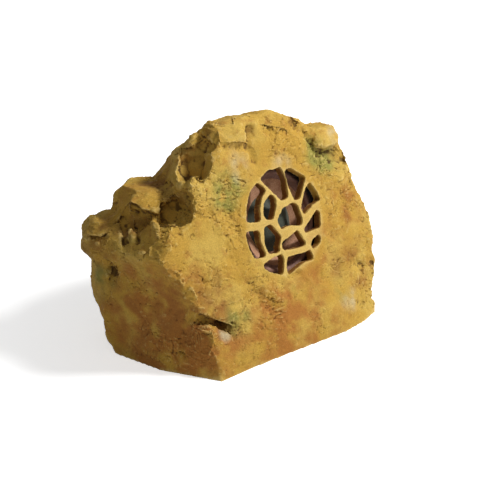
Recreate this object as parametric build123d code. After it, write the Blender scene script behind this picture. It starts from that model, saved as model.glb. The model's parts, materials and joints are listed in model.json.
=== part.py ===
"""Rock-shaped garden loudspeaker with a pierced front and one full-range driver.

Millimetres, +Z up, the pierced front faces -Y. The origin is the middle of the foot, on the ground.
"""
import os
from math import cos, radians, sin
from random import Random

from build123d import *

# Stone: overall size and moulded wall
STONE_LENGTH = 368.0
STONE_DEPTH = 246.0
STONE_HEIGHT = 274.0
STONE_WALL = 10.0
FRONT_LEAN = 18.0
FRONT_SETBACK = 12.0

# Broken facets over the outside, out from the smooth stone by up to their height or in by up to their dip.
# Their core is a place in the stone, in percent. On the front they lie in rings around the pierced front,
# whose radii are shares of its radius, and turn and stray are the shares by which their corners wander.
FACET_HEIGHT = 5.0
FACET_DIP = 2.5
FACET_SEED = 8
FACET_CORE = (0, 10, 35)
FRONT_FACET_RINGS = (1.18, 1.55, 2.0, 2.6, 3.3, 4.2)
FRONT_FACET_SIDES = 18
FRONT_FACET_TURN = 0.25
FRONT_FACET_STRAY = 0.08

# Pierced front
GRILLE_SIDE = 30.0
GRILLE_RISE = 154.0
GRILLE_RADIUS = 68.0
GRILLE_DEPTH = 12.0
GRILLE_PAD_BORDER = 9.0
GRILLE_CORNER = 2.5

# Foot: recessed plate, seal and inner lip
RIM = 9.0
LIP_WIDTH = 16.0
LIP_DEPTH = 10.0
PLATE_RECESS = 4.0
PLATE = 8.0
PLATE_SIDE_GAP = 0.5
FOOT_SEAL = 2.0
FOOT_SCREWS = 8
FOOT_SCREW_RADIUS = 2.0
FOOT_SCREW_HEAD = 3.8
FOOT_SCREW_HEAD_DEPTH = 2.6
FOOT_SCREW_GRIP = 7.0
PILOT_EXTRA = 1.0

# Driver: frame and seal
FLANGE_RADIUS = 83.0
DRIVER_SEAL = 8.0
DRIVER_SEAL_WIDTH = 11.5
EDGE_CLEARANCE = 0.7
MOUTH_OVERLAP = 1.2
MOUTH_TAPER = 2.0
FRAME_SHEET = 1.4
FRAME_NECK = 10.0
LEDGE_DEPTH = 30.0
LEDGE_OUTER = 46.0
LEDGE_INNER = 38.0
FLOOR_DEPTH = 39.0
FLOOR_HOLE = 18.0
WINDOWS = 4
WINDOW_ANGLE = 56.0
DRIVER_SCREWS = 4
DRIVER_SCREW_RADIUS = 1.75
DRIVER_SCREW_HEAD = 3.5
DRIVER_SCREW_HEAD_DEPTH = 2.4
DRIVER_SCREW_GRIP = 9.0
SCREW_CLEARANCE = 0.5
PILOT_CLEARANCE = 0.05

# Driver: magnet
POLE_RADIUS = 12.6
TOP_PLATE_RADIUS = 40.0
TOP_PLATE = 5.0
MAGNET_RADIUS = 45.0
MAGNET_BORE = 20.0
MAGNET = 14.0
YOKE_RADIUS = 42.0
YOKE_PLATE = 5.0
COIL_CLEARANCE = 0.35

# Driver: moving cone
CONE_RIM = 3.5
CONE_DEPTH = 24.0
CONE_SHEET = 1.0
COLLAR_LENGTH = 2.5
ROLL_RADIUS = 4.1
ROLL_SHEET = 0.8
ROLL_LIP = 5.1
CAP_RADIUS = 36.0
CAP_RISE = 13.0
CAP_SHEET = 0.8
FORMER_SHEET = 0.3
WINDING_SHEET = 0.45
WINDING_LENGTH = 11.0
FORMER_TAIL = 1.1
SPIDER_SHEET = 0.6
SPIDER_WAVE = 1.3
SPIDER_WAVES = 5
GLUE_GAP = 0.05

# Driver: terminals and flexible leads
TAB_WIDTH = 7.0
TAB_REACH = 62.0
BOARD_WIDTH = 26.0
BOARD_LENGTH = 13.0
BOARD = 1.6
POLE_PITCH = 14.0
TAG_WIDTH = 4.5
TAG_LENGTH = 15.0
TAG_SHEET = 0.8
RIVET_RADIUS = 1.2
RIVET_HEAD = 2.0
RIVET_HEAD_DEPTH = 0.8
FLEX_RADIUS = 0.6

# Cable gland in the back
GLAND_SIDE = -45.0
GLAND_RISE = 44.0
GLAND_SEAT_SETBACK = 25.0
GLAND_POCKET = 18.0
GLAND_BOSS = 25.0
GLAND_BOSS_WALL = 10.0
GLAND_THREAD = 8.0
GLAND_HEX = 22.0
GLAND_HEX_DEPTH = 6.0
GLAND_SLEEVE = 8.0
GLAND_SLEEVE_DEPTH = 9.0
GLAND_BORE = 5.2
GLAND_WASHER_RADIUS = 13.5
GLAND_WASHER = 1.5
GLAND_NUT = 5.0
GLAND_TAIL = 2.0
GLAND_CAP_HEX = 21.0
GLAND_CAP_DEPTH = 11.0
GLAND_CAP_HOLE = 4.4
GLAND_CABLE = 3.3
THREAD_CLEARANCE = 0.3

# Wiring block on the foot plate and the two inner leads
BLOCK_LENGTH = 30.0
BLOCK_DEPTH = 21.0
BLOCK_HEIGHT = 16.0
SLEEVE_RADIUS = 3.2
SLEEVE_BORE = 1.9
SLEEVE_LENGTH = 17.0
CLAMP_RADIUS = 1.7
CLAMP_HEAD = 2.2
FIXING_RADIUS = 1.6
FIXING_HEAD = 3.0
LEAD_RADIUS = 1.1
LEAD_BEND = 9.0
LEAD_ENTRY = 6.0
LEAD_LAP = 7.0
LEAD_RUN = 20.0

# Outlines of the stone at rising heights, each as (rise, tilt along X, tilt along Y, corners).
# Rise is the height of the highest corner as a percentage of the stone's height.
# Corners are percentages of half the length and half the depth, and run front left, front middle,
# front right, right, back right, back, back left, left.
OUTLINES = (
    (0, 0.00, 0.00, ((-66, -96), (8, -96), (84, -96), (91, -22), (76, 64), (33, 92), (-27, 94), (-70, 77),
                     (-91, 24), (-85, -34))),
    (24, 0.04, -0.02, ((-63, -86), (8, -88), (95, -86), (97, -12), (82, 70), (35, 98), (-30, 98), (-79, 84),
                       (-95, 34), (-80, -30))),
    (38, 0.00, 0.02, ((-76, -75), (7, -77), (100, -75), (100, -4), (80, 72), (34, 99), (-32, 98), (-78, 84),
                      (-92, 42), (-84, -20))),
    (52, -0.05, 0.00, ((-91, -62), (5, -64), (100, -62), (100, 5), (76, 72), (33, 100), (-33, 99), (-78, 84),
                       (-100, 50), (-92, -6))),
    (77, 0.03, -0.04, ((-64, -42), (5, -45), (84, -43), (82, 14), (58, 54), (22, 74), (-22, 70), (-42, 50),
                       (-52, 18), (-59, -14))),
    (89, -0.04, 0.00, ((-42, -33), (11, -35), (72, -32), (62, 4), (43, 30), (16, 40), (-14, 36), (-28, 24),
                       (-38, 8), (-41, -12))),
    (100, 0.00, -0.16, ((-29, -13), (5, -14), (29, -13), (28, -5), (22, 6), (10, 10), (-7, 8), (-16, 3),
                        (-24, -3), (-27, -10))),
)

# Blocks standing out of the stone, each as (centre, half sizes, turn).
# Centres and half sizes are percentages of half the length, half the depth and the height.
BLOCKS = (
    ((-75, 48, 49), (24, 40, 10), 10),
    ((-53, 31, 63), (27, 42, 10), 35),
    ((-29, -4, 87), (13, 14, 9), 20),
    ((-34, 12, 82), (11, 17, 6), 30),
    ((70, -14, 80), (20, 24, 8), 50),
)

# Low swelling of the front along its foot, as outlines like those of the stone without a tilt.
SWELLING = (
    (0, ((-64, -90), (-10, -94), (45, -100), (68, -96), (84, -89), (80, -70), (-60, -70))),
    (9, ((-63, -83), (-10, -89), (45, -95), (70, -91), (86, -83), (80, -65), (-60, -65))),
    (26, ((-62, -70), (-10, -70), (45, -70), (70, -70), (88, -70), (80, -55), (-58, -55))),
)

# Hollows broken out of the flanks, each as (centre, half sizes, turn) like the blocks.
SCOOPS = (
    ((-45, -15, 86), (13, 20, 10), 15),
    ((-66, -23, 69), (14, 21, 9), 40),
    ((-93, 24, 41), (6, 9, 4), 0),
    ((106, -50, 66), (18, 27, 13), 20),
)

# Flat faces of the crown, right shoulder and left flank, each as (centre, facing, half sizes, raised).
# Facing is in degrees round from the front to the right and up from level. Half sizes are percentages of half
# the length, across and up the face. All share one outline, whose corners are shares of the half sizes.
# The stone is cleared above each face, and filled under a raised one.
FACES = (
    ((-28, -12, 94), (-70, 10), (8, 11), False),
    ((-15, -24, 94), (-10, 36), (11, 6), True),
    ((4, -19, 93), (-35, 25), (5, 5), False),
    ((26, -21, 96), (0, 50), (9, 6), True),
    ((69, -32, 84), (10, 40), (12, 7), True),
    ((74, -43, 67), (10, 38), (10, 6), True),
    ((-71, 7, 70), (-40, 55), (11, 7), True),
    ((-76, 7, 62), (-55, -15), (12, 6), False),
)
FACE_CORNERS = ((-1.0, -0.6), (-0.3, -1.0), (0.8, -0.9), (1.0, 0.2), (0.4, 1.0), (-0.8, 0.8))
FACE_FILL = 9.0
FACE_CLEARANCE = 14.0

# Crevice worn into the front near its left foot: centre and half sizes as percentages, then its turn.
CREVICE_CENTRE = (-63, -72, 23)
CREVICE_REACH = (16, 11, 1.7)
CREVICE_TURN = (18.0, 26.0, 0.0)

# Openings of the pierced front, as percentages of its radius from its centre, sideways and up the face.
OPENINGS = (
    ((-37, 84), (-15, 95), (15, 95), (22, 74), (19, 40), (3, 37), (-12, 54)),
    ((25, 87), (40, 88), (73, 65), (65, 56), (47, 31), (34, 32), (26, 59)),
    ((81, 54), (94, 32), (98, 18), (79, 15), (50, 0), (47, 13), (65, 41)),
    ((-47, 79), (-31, 63), (-45, 54), (-56, 35), (-60, 13), (-91, 19), (-85, 40), (-66, 68)),
    ((-23, 53), (-13, 45), (-15, 32), (-29, 10), (-44, 13), (-48, 23), (-41, 41)),
    ((29, 26), (37, 21), (42, -6), (38, -17), (10, -9), (-14, -12), (-18, 4), (0, 22)),
    ((86, 1), (90, -6), (84, -31), (43, -32), (42, -26), (63, -13)),
    ((82, -44), (74, -59), (55, -66), (52, -57), (61, -49)),
    ((-98, 1), (-68, -3), (-71, -21), (-64, -50), (-91, -46), (-98, -27)),
    ((-54, -1), (-37, 1), (-19, -25), (-29, -40), (-30, -50), (-55, -47), (-60, -29)),
    ((25, -24), (34, -44), (41, -54), (10, -53), (-22, -48), (-17, -36), (0, -32)),
    ((-27, -56), (-24, -65), (-34, -91), (-64, -76), (-78, -65), (-59, -60)),
    ((-14, -66), (33, -68), (46, -66), (50, -84), (29, -82), (3, -88), (-21, -96), (-19, -82)),
)

HALF_SIZE = (STONE_LENGTH / 2, STONE_DEPTH / 2, STONE_HEIGHT)
FRONT = Plane(
    origin=(0, FRONT_SETBACK - STONE_DEPTH / 2, 0),
    x_dir=(1, 0, 0),
    z_dir=(0, -cos(radians(FRONT_LEAN)), sin(radians(FRONT_LEAN))),
)
DRIVER = Plane(
    origin=FRONT.from_local_coords((GRILLE_SIDE, GRILLE_RISE, 0)),
    x_dir=(1, 0, 0),
    z_dir=FRONT.z_dir,
)


def in_stone(percent):
    """Place given as percentages of half the length, half the depth and the height."""
    return Vector(*(size * share / 100 for size, share in zip(HALF_SIZE, percent)))


def closed_solid(rings):
    """Solid through rings of equal length, with flat triangles between rings and flat ends."""
    faces = [Face(Wire.make_polygon(rings[0])), Face(Wire.make_polygon(rings[-1]))]
    for lower, upper in zip(rings, rings[1:]):
        for index in range(len(lower)):
            after = (index + 1) % len(lower)
            faces.append(Face(Wire.make_polygon([lower[index], lower[after], upper[after]])))
            faces.append(Face(Wire.make_polygon([lower[index], upper[after], upper[index]])))
    return Solid(Shell(faces))


def drawn_in(ring, amount):
    """Ring with every corner moved towards its middle."""
    middle = sum(ring, Vector(0, 0, 0)) / len(ring)
    return [point + (middle - point).normalized() * amount for point in ring]


def broken(rings):
    """Rings with a point between every two, where all between the ends are moved in or out by chance."""
    chance = Random(FACET_SEED)
    core = in_stone(FACET_CORE)
    levels = [rings[0]]
    for lower, upper in zip(rings, rings[1:]):
        levels.append([(low + high) / 2 for low, high in zip(lower, upper)])
        levels.append(upper)
    finer = []
    for number, level in enumerate(levels):
        held = number in (0, len(levels) - 1)
        points = []
        for point, after in zip(level, level[1:] + level[:1]):
            for spot, free in ((point, number % 2), ((point + after) / 2, not held)):
                away = (spot - core).normalized() * chance.uniform(-FACET_DIP, FACET_HEIGHT)
                moved = spot + away if free else spot
                points.append(Vector(*(max(-size, min(size, part)) for size, part in zip(HALF_SIZE, moved))))
        finer.append(points)
    return finer


def front_waste():
    """All that is broken away in front: flat over the pierced front, shallow facets around it."""
    chance = Random(FACET_SEED)
    rings = []
    for share in FRONT_FACET_RINGS:
        points = []
        for side in range(FRONT_FACET_SIDES):
            turn = side + chance.uniform(-FRONT_FACET_TURN, FRONT_FACET_TURN)
            angle = radians(360 / FRONT_FACET_SIDES * turn)
            reach = GRILLE_RADIUS * share * (1 + chance.uniform(-FRONT_FACET_STRAY, FRONT_FACET_STRAY))
            height = chance.uniform(-FACET_DIP, FACET_DIP) if rings else 0
            points.append(Vector(reach * cos(angle), reach * sin(angle), height))
        rings.append(points)
    rings.append([Vector(point.X, point.Y, STONE_DEPTH) for point in rings[-1]])
    return DRIVER.location * closed_solid(rings)


def main_mass(inset):
    """Main body of the stone, broken outside, or smaller by the inset and open below when there is one."""
    rings = []
    for rise, tilt_x, tilt_y, corners in OUTLINES:
        level = [in_stone((x, y, rise)) for x, y in corners]
        lifts = [tilt_x * point.X + tilt_y * point.Y for point in level]
        level = [point + Vector(0, 0, lift - max(lifts)) for point, lift in zip(level, lifts)]
        rings.append(drawn_in(level, inset) if inset else level)
    if not inset:
        return closed_solid(broken(rings))
    rings[0] = [point - Vector(0, 0, inset) for point in rings[0]]
    rings[-1] = [point - Vector(0, 0, inset) for point in rings[-1]]
    return closed_solid(rings)


def block(centre, half_sizes, turn, inset):
    """Seven-sided block with narrowed ends, smaller by the inset or larger by a negative one."""
    middle = in_stone(centre)
    reach = in_stone(half_sizes) - Vector(inset, inset, inset)
    rings = []
    for level, share in ((-1.0, 0.6), (-0.3, 1.0), (0.45, 0.95), (1.0, 0.7)):
        angles = [radians(turn + 12 * level + 360 * side / 7) for side in range(7)]
        wide = reach.X * share
        deep = reach.Y * share
        rings.append([middle + Vector(wide * cos(a), deep * sin(a), reach.Z * level) for a in angles])
    return closed_solid(rings)


def face_prism(centre, facing, half_sizes, low, high, inset):
    """Prism on a broken face between two heights from it, wider than the face by the inset."""
    side, rise = (radians(angle) for angle in facing)
    face = Plane(
        origin=in_stone(centre),
        x_dir=(cos(side), sin(side), 0),
        z_dir=(sin(side) * cos(rise), -cos(side) * cos(rise), sin(rise)),
    )
    wide, tall = (STONE_LENGTH / 2 * share / 100 + inset for share in half_sizes)
    outline = make_face(Polyline(*((wide * x, tall * y) for x, y in FACE_CORNERS), close=True))
    return face.location * slab(outline, low, high)


def stone_body(inset):
    """Whole stone, smaller by the inset, with its leaning front and broken hollows."""
    body = main_mass(inset)
    for centre, half_sizes, turn in BLOCKS:
        body += block(centre, half_sizes, turn, inset)
    if inset:
        body = split(body, bisect_by=FRONT.offset(-inset), keep=Keep.BOTTOM)
    else:
        body -= front_waste()
        body += closed_solid([[in_stone((x, y, rise)) for x, y in corners] for rise, corners in SWELLING])
    for centre, half_sizes, turn in SCOOPS:
        body -= block(centre, half_sizes, turn, -inset)
    for centre, facing, half_sizes, raised in FACES:
        if raised and not inset:
            body += face_prism(centre, facing, half_sizes, -FACE_FILL, 0, 0)
        body -= face_prism(centre, facing, half_sizes, -inset, FACE_CLEARANCE, inset)
    reach = in_stone(CREVICE_REACH) + Vector(inset, inset, inset)
    crevice = Box(2 * reach.X, 2 * reach.Y, 2 * reach.Z)
    body -= Pos(in_stone(CREVICE_CENTRE)) * Rot(*CREVICE_TURN) * crevice
    return body.solids().sort_by(SortBy.VOLUME)[-1]


def turned(points):
    """Solid turned about the Z axis from (radius, height) corners."""
    return revolve(Plane.XZ * make_face(Polyline(*points, close=True)), Axis.Z)


def ring(outer, inner, low, high):
    """Flat ring between two heights."""
    return turned([(inner, low), (outer, low), (outer, high), (inner, high)])


def rod(radius, low, high):
    """Round bar on the Z axis between two heights."""
    return Pos(0, 0, low) * Cylinder(radius, high - low, align=(Align.CENTER, Align.CENTER, Align.MIN))


def slab(face, low, high):
    """Flat outline on the ground raised to lie between two heights."""
    return Pos(0, 0, low) * extrude(face, amount=high - low, dir=(0, 0, 1))


def sheet_outline(points, thickness):
    """Corners of a bent sheet of even thickness whose front side follows the points."""
    middle = [Vector(*point) for point in points]
    back = []
    for index, point in enumerate(middle):
        before = (point - middle[index - 1]).normalized() if index else None
        after = (middle[index + 1] - point).normalized() if index + 1 < len(middle) else None
        before = before or after
        after = after or before
        side = Vector(before.Y, -before.X) + Vector(after.Y, -after.X)
        reach = 2 * thickness / side.length
        back.append(point - side.normalized() * reach)
    return [(p.X, p.Y) for p in middle] + [(p.X, p.Y) for p in reversed(back)]


def screw(radius, head_radius, head_depth, length):
    """Pan-head screw along +Z with the underside of its head at zero."""
    head = turned([(0, -head_depth), (head_radius * 0.75, -head_depth), (head_radius, -head_depth * 0.5),
                   (head_radius, 0), (0, 0)])
    slot_length = head_radius * 1.1
    slot_width = head_radius * 0.25
    cross = Box(slot_length, slot_width, head_depth) + Box(slot_width, slot_length, head_depth)
    point = Pos(0, 0, length - radius) * Cone(radius, radius * 0.3, radius,
                                              align=(Align.CENTER, Align.CENTER, Align.MIN))
    return head + rod(radius, 0, length - radius) + point - Pos(0, 0, -head_depth) * cross


def around(shape, count, radius, start):
    """Copies of a shape spaced evenly on a circle about the Z axis."""
    return Compound([loc * shape for loc in PolarLocations(radius, count, start)])


def save(name, shape):
    """Write one named piece."""
    export_step(shape, os.path.join("parts", name + ".step"))


def main():
    os.makedirs("parts", exist_ok=True)

    # Heights on the driver axis, measured from the stone's front face and falling inwards
    pad_back = -GRILLE_DEPTH
    flange_front = pad_back - DRIVER_SEAL
    flange_back = flange_front - FRAME_SHEET
    ledge_front = flange_front - LEDGE_DEPTH
    ledge_back = ledge_front - FRAME_SHEET
    floor_back = flange_front - FLOOR_DEPTH - FRAME_SHEET
    magnet_front = floor_back - TOP_PLATE
    magnet_back = magnet_front - MAGNET
    yoke_back = magnet_back - YOKE_PLATE
    seal_radius = FLANGE_RADIUS - DRIVER_SEAL_WIDTH
    screw_circle = FLANGE_RADIUS - DRIVER_SEAL_WIDTH / 2
    roll_outer = seal_radius - EDGE_CLEARANCE - ROLL_LIP
    roll_inner = roll_outer - 2 * ROLL_RADIUS
    mouth_radius = roll_outer - MOUTH_OVERLAP
    screw_start = 180 / DRIVER_SCREWS

    # Stone shell with its foot lip, pierced front and gland seat
    stone = stone_body(0)
    foot = stone.faces().sort_by(Axis.Z)[0]
    foot = make_face(foot.outer_wire().edges())
    recess = offset(foot, amount=-RIM, kind=Kind.INTERSECTION)
    lip_hole = offset(foot, amount=-RIM - LIP_WIDTH, kind=Kind.INTERSECTION)
    screw_path = offset(foot, amount=-RIM - LIP_WIDTH / 2, kind=Kind.INTERSECTION).faces()[0].outer_wire()
    screw_spots = [screw_path.position_at((index + 0.5) / FOOT_SCREWS) for index in range(FOOT_SCREWS)]
    plate_low = PLATE_RECESS
    plate_high = plate_low + PLATE
    lip_low = plate_high + FOOT_SEAL
    lip_high = lip_low + LIP_DEPTH

    shell = stone - stone_body(STONE_WALL)
    pad = DRIVER.location * rod(FLANGE_RADIUS + GRILLE_PAD_BORDER, pad_back, 0)
    lip = slab(offset(foot, amount=-RIM / 2, kind=Kind.INTERSECTION), lip_low, lip_high)
    seat = STONE_DEPTH / 2 - GLAND_SEAT_SETBACK
    gland = Plane(origin=(GLAND_SIDE, seat, GLAND_RISE), x_dir=(-1, 0, 0), z_dir=(0, 1, 0)).location
    boss = gland * rod(GLAND_BOSS, -GLAND_BOSS_WALL, GLAND_SEAT_SETBACK)
    shell += (pad & stone) + (lip & stone) + (boss & stone)
    shell -= slab(recess, -STONE_WALL, lip_low)
    shell -= slab(lip_hole, 0, lip_high)
    shell -= gland * rod(GLAND_POCKET, 0, STONE_DEPTH)
    shell -= gland * rod(GLAND_THREAD + THREAD_CLEARANCE, -STONE_DEPTH / 4, 0)
    for corners in OPENINGS:
        points = [(x * GRILLE_RADIUS / 100, y * GRILLE_RADIUS / 100) for x, y in corners]
        opening = make_face(Polyline(*points, close=True))
        opening = offset(opening, amount=-GRILLE_CORNER, kind=Kind.INTERSECTION)
        opening = offset(opening, amount=GRILLE_CORNER, kind=Kind.ARC)
        shell -= DRIVER.location * Pos(0, 0, pad_back - 1) * extrude(opening, amount=GRILLE_DEPTH + 2)
    driver_pilot_end = pad_back + DRIVER_SCREW_GRIP + PILOT_EXTRA
    driver_pilot = rod(DRIVER_SCREW_RADIUS + PILOT_CLEARANCE, pad_back, driver_pilot_end)
    shell -= DRIVER.location * around(driver_pilot, DRIVER_SCREWS, screw_circle, screw_start)
    foot_pilot_end = lip_low + FOOT_SCREW_GRIP + PILOT_EXTRA
    foot_pilot = rod(FOOT_SCREW_RADIUS + PILOT_CLEARANCE, lip_low, foot_pilot_end)
    shell -= Compound([Pos(spot.X, spot.Y, 0) * foot_pilot for spot in screw_spots])
    save("rock_shell", shell)

    # Foot plate, its seal and screws
    plate = slab(offset(recess, amount=-PLATE_SIDE_GAP, kind=Kind.INTERSECTION), plate_low, plate_high)
    seal = slab(offset(recess, amount=-PLATE_SIDE_GAP, kind=Kind.INTERSECTION), plate_high, lip_low)
    seal -= slab(lip_hole, plate_high, lip_low)
    screw_hole = rod(FOOT_SCREW_RADIUS + SCREW_CLEARANCE, plate_low, lip_low)
    screw_holes = Compound([Pos(spot.X, spot.Y, 0) * screw_hole for spot in screw_spots])
    foot_screw_length = lip_low - plate_low + FOOT_SCREW_GRIP
    foot_screw = screw(FOOT_SCREW_RADIUS, FOOT_SCREW_HEAD, FOOT_SCREW_HEAD_DEPTH, foot_screw_length)
    board_middle = TAB_REACH - BOARD_LENGTH / 2
    tag_back = ledge_back - BOARD - TAG_SHEET
    tag_tip = board_middle + TAG_LENGTH - TAG_WIDTH / 2
    lead_height = tag_back - RIVET_HEAD_DEPTH - LEAD_RADIUS - GLUE_GAP
    lead_drop = DRIVER.from_local_coords((0, -tag_tip - LEAD_BEND, lead_height))
    block_front = lead_drop.Y + LEAD_RUN
    block_place = Pos(lead_drop.X, block_front + BLOCK_DEPTH / 2, plate_high)
    fixing_grip = PLATE * 0.75
    fixing_pilot = rod(FIXING_RADIUS + PILOT_CLEARANCE, -fixing_grip - PILOT_EXTRA, 0)
    save("base_plate", plate - screw_holes - block_place * fixing_pilot)
    save("base_gasket", seal - screw_holes)
    save("base_screws", Compound([Pos(spot.X, spot.Y, plate_low) * foot_screw for spot in screw_spots]))

    # Driver frame, its seal and screws
    frame_points = [
        (FLANGE_RADIUS, flange_front),
        (mouth_radius, flange_front),
        (mouth_radius - MOUTH_TAPER, flange_front - FRAME_NECK),
        (LEDGE_OUTER, ledge_front),
        (LEDGE_INNER, ledge_front),
        (LEDGE_INNER - 1, flange_front - FLOOR_DEPTH),
        (FLOOR_HOLE, flange_front - FLOOR_DEPTH),
    ]
    frame = turned(sheet_outline(frame_points, FRAME_SHEET))
    half_window = radians(WINDOW_ANGLE / 2)
    window_side = FLANGE_RADIUS * cos(half_window)
    window_reach = FLANGE_RADIUS * sin(half_window)
    window_points = [(0, 0), (window_side, -window_reach), (FLANGE_RADIUS, 0), (window_side, window_reach)]
    window = extrude(make_face(Polyline(*window_points, close=True)), amount=LEDGE_DEPTH - FRAME_NECK - 6)
    window = Pos(0, 0, ledge_front + 4) * window
    frame -= Compound([Rot(0, 0, 360 * index / WINDOWS - 90) * window for index in range(WINDOWS)])
    tab_start = (LEDGE_OUTER + LEDGE_INNER) / 2
    frame += Pos(0, -(tab_start + TAB_REACH) / 2, (ledge_front + ledge_back) / 2) * Box(
        TAB_WIDTH, TAB_REACH - tab_start, FRAME_SHEET
    )
    driver_hole = rod(DRIVER_SCREW_RADIUS + SCREW_CLEARANCE, flange_back, pad_back)
    driver_holes = around(driver_hole, DRIVER_SCREWS, screw_circle, screw_start)
    rivet_hole = rod(RIVET_RADIUS + PILOT_CLEARANCE, tag_back, ledge_front)
    frame -= driver_holes + Pos(0, -board_middle, 0) * rivet_hole
    driver_screw_length = pad_back - flange_back + DRIVER_SCREW_GRIP
    driver_screw = Pos(0, 0, flange_back) * screw(
        DRIVER_SCREW_RADIUS, DRIVER_SCREW_HEAD, DRIVER_SCREW_HEAD_DEPTH, driver_screw_length
    )
    save("driver_basket", DRIVER.location * frame)
    seal_ring = ring(FLANGE_RADIUS, seal_radius, flange_front, pad_back)
    save("driver_gasket", DRIVER.location * (seal_ring - driver_holes))
    save("driver_screws", DRIVER.location * around(driver_screw, DRIVER_SCREWS, screw_circle, screw_start))

    # Magnet stack
    former_inner = POLE_RADIUS + COIL_CLEARANCE
    former_outer = former_inner + FORMER_SHEET
    winding_outer = former_outer + WINDING_SHEET
    gap_radius = winding_outer + COIL_CLEARANCE
    save("top_plate", DRIVER.location * ring(TOP_PLATE_RADIUS, gap_radius, magnet_front, floor_back))
    save("magnet", DRIVER.location * ring(MAGNET_RADIUS, MAGNET_BORE, magnet_back, magnet_front))
    yoke = rod(YOKE_RADIUS, yoke_back, magnet_back) + rod(POLE_RADIUS, magnet_back, floor_back)
    save("pole_yoke", DRIVER.location * yoke)

    # Cone with its dust cap, coil and flexible edges
    rim_inner = roll_inner - CONE_RIM
    neck_front = flange_front - CONE_DEPTH
    neck_radius = former_outer + GLUE_GAP
    cone_slope = CONE_DEPTH / (rim_inner - neck_radius - CONE_SHEET)
    cone_points = [
        (roll_inner, flange_front),
        (rim_inner, flange_front),
        (neck_radius + CONE_SHEET, neck_front),
        (neck_radius, neck_front),
        (neck_radius, neck_front - COLLAR_LENGTH),
        (neck_radius + CONE_SHEET, neck_front - COLLAR_LENGTH),
        (rim_inner + CONE_SHEET * 0.5, flange_front - CONE_SHEET),
        (roll_inner, flange_front - CONE_SHEET),
    ]
    save("cone", DRIVER.location * turned(cone_points))
    cap_seat = flange_front - (rim_inner - CAP_RADIUS) * cone_slope + GLUE_GAP * 2
    cap_ball = (CAP_RADIUS**2 + CAP_RISE**2) / (2 * CAP_RISE)
    cap = Pos(0, 0, cap_seat + CAP_RISE - cap_ball) * (Sphere(cap_ball) - Sphere(cap_ball - CAP_SHEET))
    cap &= rod(CAP_RADIUS + CAP_SHEET, cap_seat, cap_seat + CAP_RISE + CAP_SHEET)
    save("dust_cap", DRIVER.location * cap)
    winding_middle = (floor_back + magnet_front) / 2
    winding_low = winding_middle - WINDING_LENGTH / 2
    winding_high = winding_middle + WINDING_LENGTH / 2
    former = ring(former_outer, former_inner, winding_low - FORMER_TAIL, neck_front)
    save("coil_former", DRIVER.location * former)
    winding = ring(winding_outer, former_outer + GLUE_GAP, winding_low, winding_high)
    save("coil_winding", DRIVER.location * winding)

    roll_middle = roll_inner + ROLL_RADIUS
    roll_base = flange_front
    roll_top = flange_front + ROLL_SHEET
    lip_in = rim_inner
    lip_out = roll_outer + ROLL_LIP
    edge = [
        Line((lip_in, roll_base), (roll_inner + ROLL_SHEET, roll_base)),
        ThreePointArc(
            (roll_inner + ROLL_SHEET, roll_base),
            (roll_middle, roll_base + ROLL_RADIUS),
            (roll_outer - ROLL_SHEET, roll_base),
        ),
        Line((roll_outer - ROLL_SHEET, roll_base), (lip_out, roll_base)),
        Line((lip_out, roll_base), (lip_out, roll_top)),
        Line((lip_out, roll_top), (roll_outer, roll_top)),
        ThreePointArc(
            (roll_outer, roll_top),
            (roll_middle, roll_top + ROLL_RADIUS),
            (roll_inner, roll_top),
        ),
        Line((roll_inner, roll_top), (lip_in, roll_top)),
        Line((lip_in, roll_top), (lip_in, roll_base)),
    ]
    save("surround", DRIVER.location * revolve(Plane.XZ * make_face(edge), Axis.Z))
    spider_start = former_outer + GLUE_GAP
    spider_step = (LEDGE_INNER - spider_start - 2) / (2 * SPIDER_WAVES)
    spider_top = ledge_front + SPIDER_SHEET
    spider_line = [(spider_start, spider_top), (spider_start + 2, spider_top)]
    for index in range(2 * SPIDER_WAVES - 1):
        height = spider_top + (SPIDER_WAVE if index % 2 == 0 else -SPIDER_WAVE)
        spider_line.append((spider_start + 2 + (index + 0.5) * spider_step, height))
    spider_line += [(LEDGE_INNER, spider_top), (LEDGE_OUTER - 1, spider_top)]
    spider_line = list(reversed(spider_line))
    save("spider", DRIVER.location * turned(sheet_outline(spider_line, SPIDER_SHEET)))

    # Terminal board, its tags and rivets, and the flexible leads to the cone
    board_front = ledge_back
    board_back = board_front - BOARD
    board = Pos(0, -board_middle, (board_front + board_back) / 2) * Box(BOARD_WIDTH, BOARD_LENGTH, BOARD)
    poles = (-POLE_PITCH / 2, POLE_PITCH / 2)
    pole_holes = Compound([Pos(side, -board_middle, 0) * rivet_hole for side in poles])
    save("terminal_board", DRIVER.location * (board - Pos(0, -board_middle, 0) * rivet_hole - pole_holes))
    tag = Pos(0, -board_middle - TAG_LENGTH / 2 + TAG_WIDTH / 2, (board_back + tag_back) / 2) * Box(
        TAG_WIDTH, TAG_LENGTH, TAG_SHEET
    )
    save("terminal_tags", DRIVER.location * Compound([Pos(side, 0, 0) * tag - pole_holes for side in poles]))
    board_rivet = rod(RIVET_RADIUS, board_back, ledge_front)
    board_rivet += rod(RIVET_HEAD, board_back - RIVET_HEAD_DEPTH, board_back)
    board_rivet += rod(RIVET_HEAD, ledge_front, ledge_front + RIVET_HEAD_DEPTH)
    save("board_rivet", DRIVER.location * Pos(0, -board_middle, 0) * board_rivet)
    tag_rivet = rod(RIVET_RADIUS, tag_back, board_front)
    tag_rivet += rod(RIVET_HEAD, tag_back - RIVET_HEAD_DEPTH, tag_back)
    tag_rivet += rod(RIVET_HEAD, board_front, board_front + RIVET_HEAD_DEPTH)
    tag_rivets = Compound([Pos(side, -board_middle, 0) * tag_rivet for side in poles])
    save("tag_rivets", DRIVER.location * tag_rivets)
    flex_end_radius = CAP_RADIUS - 2
    flex_end = flange_front - (rim_inner - flex_end_radius) * cone_slope
    flex_end -= CONE_SHEET * 1.6 + FLEX_RADIUS * 1.5
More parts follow.
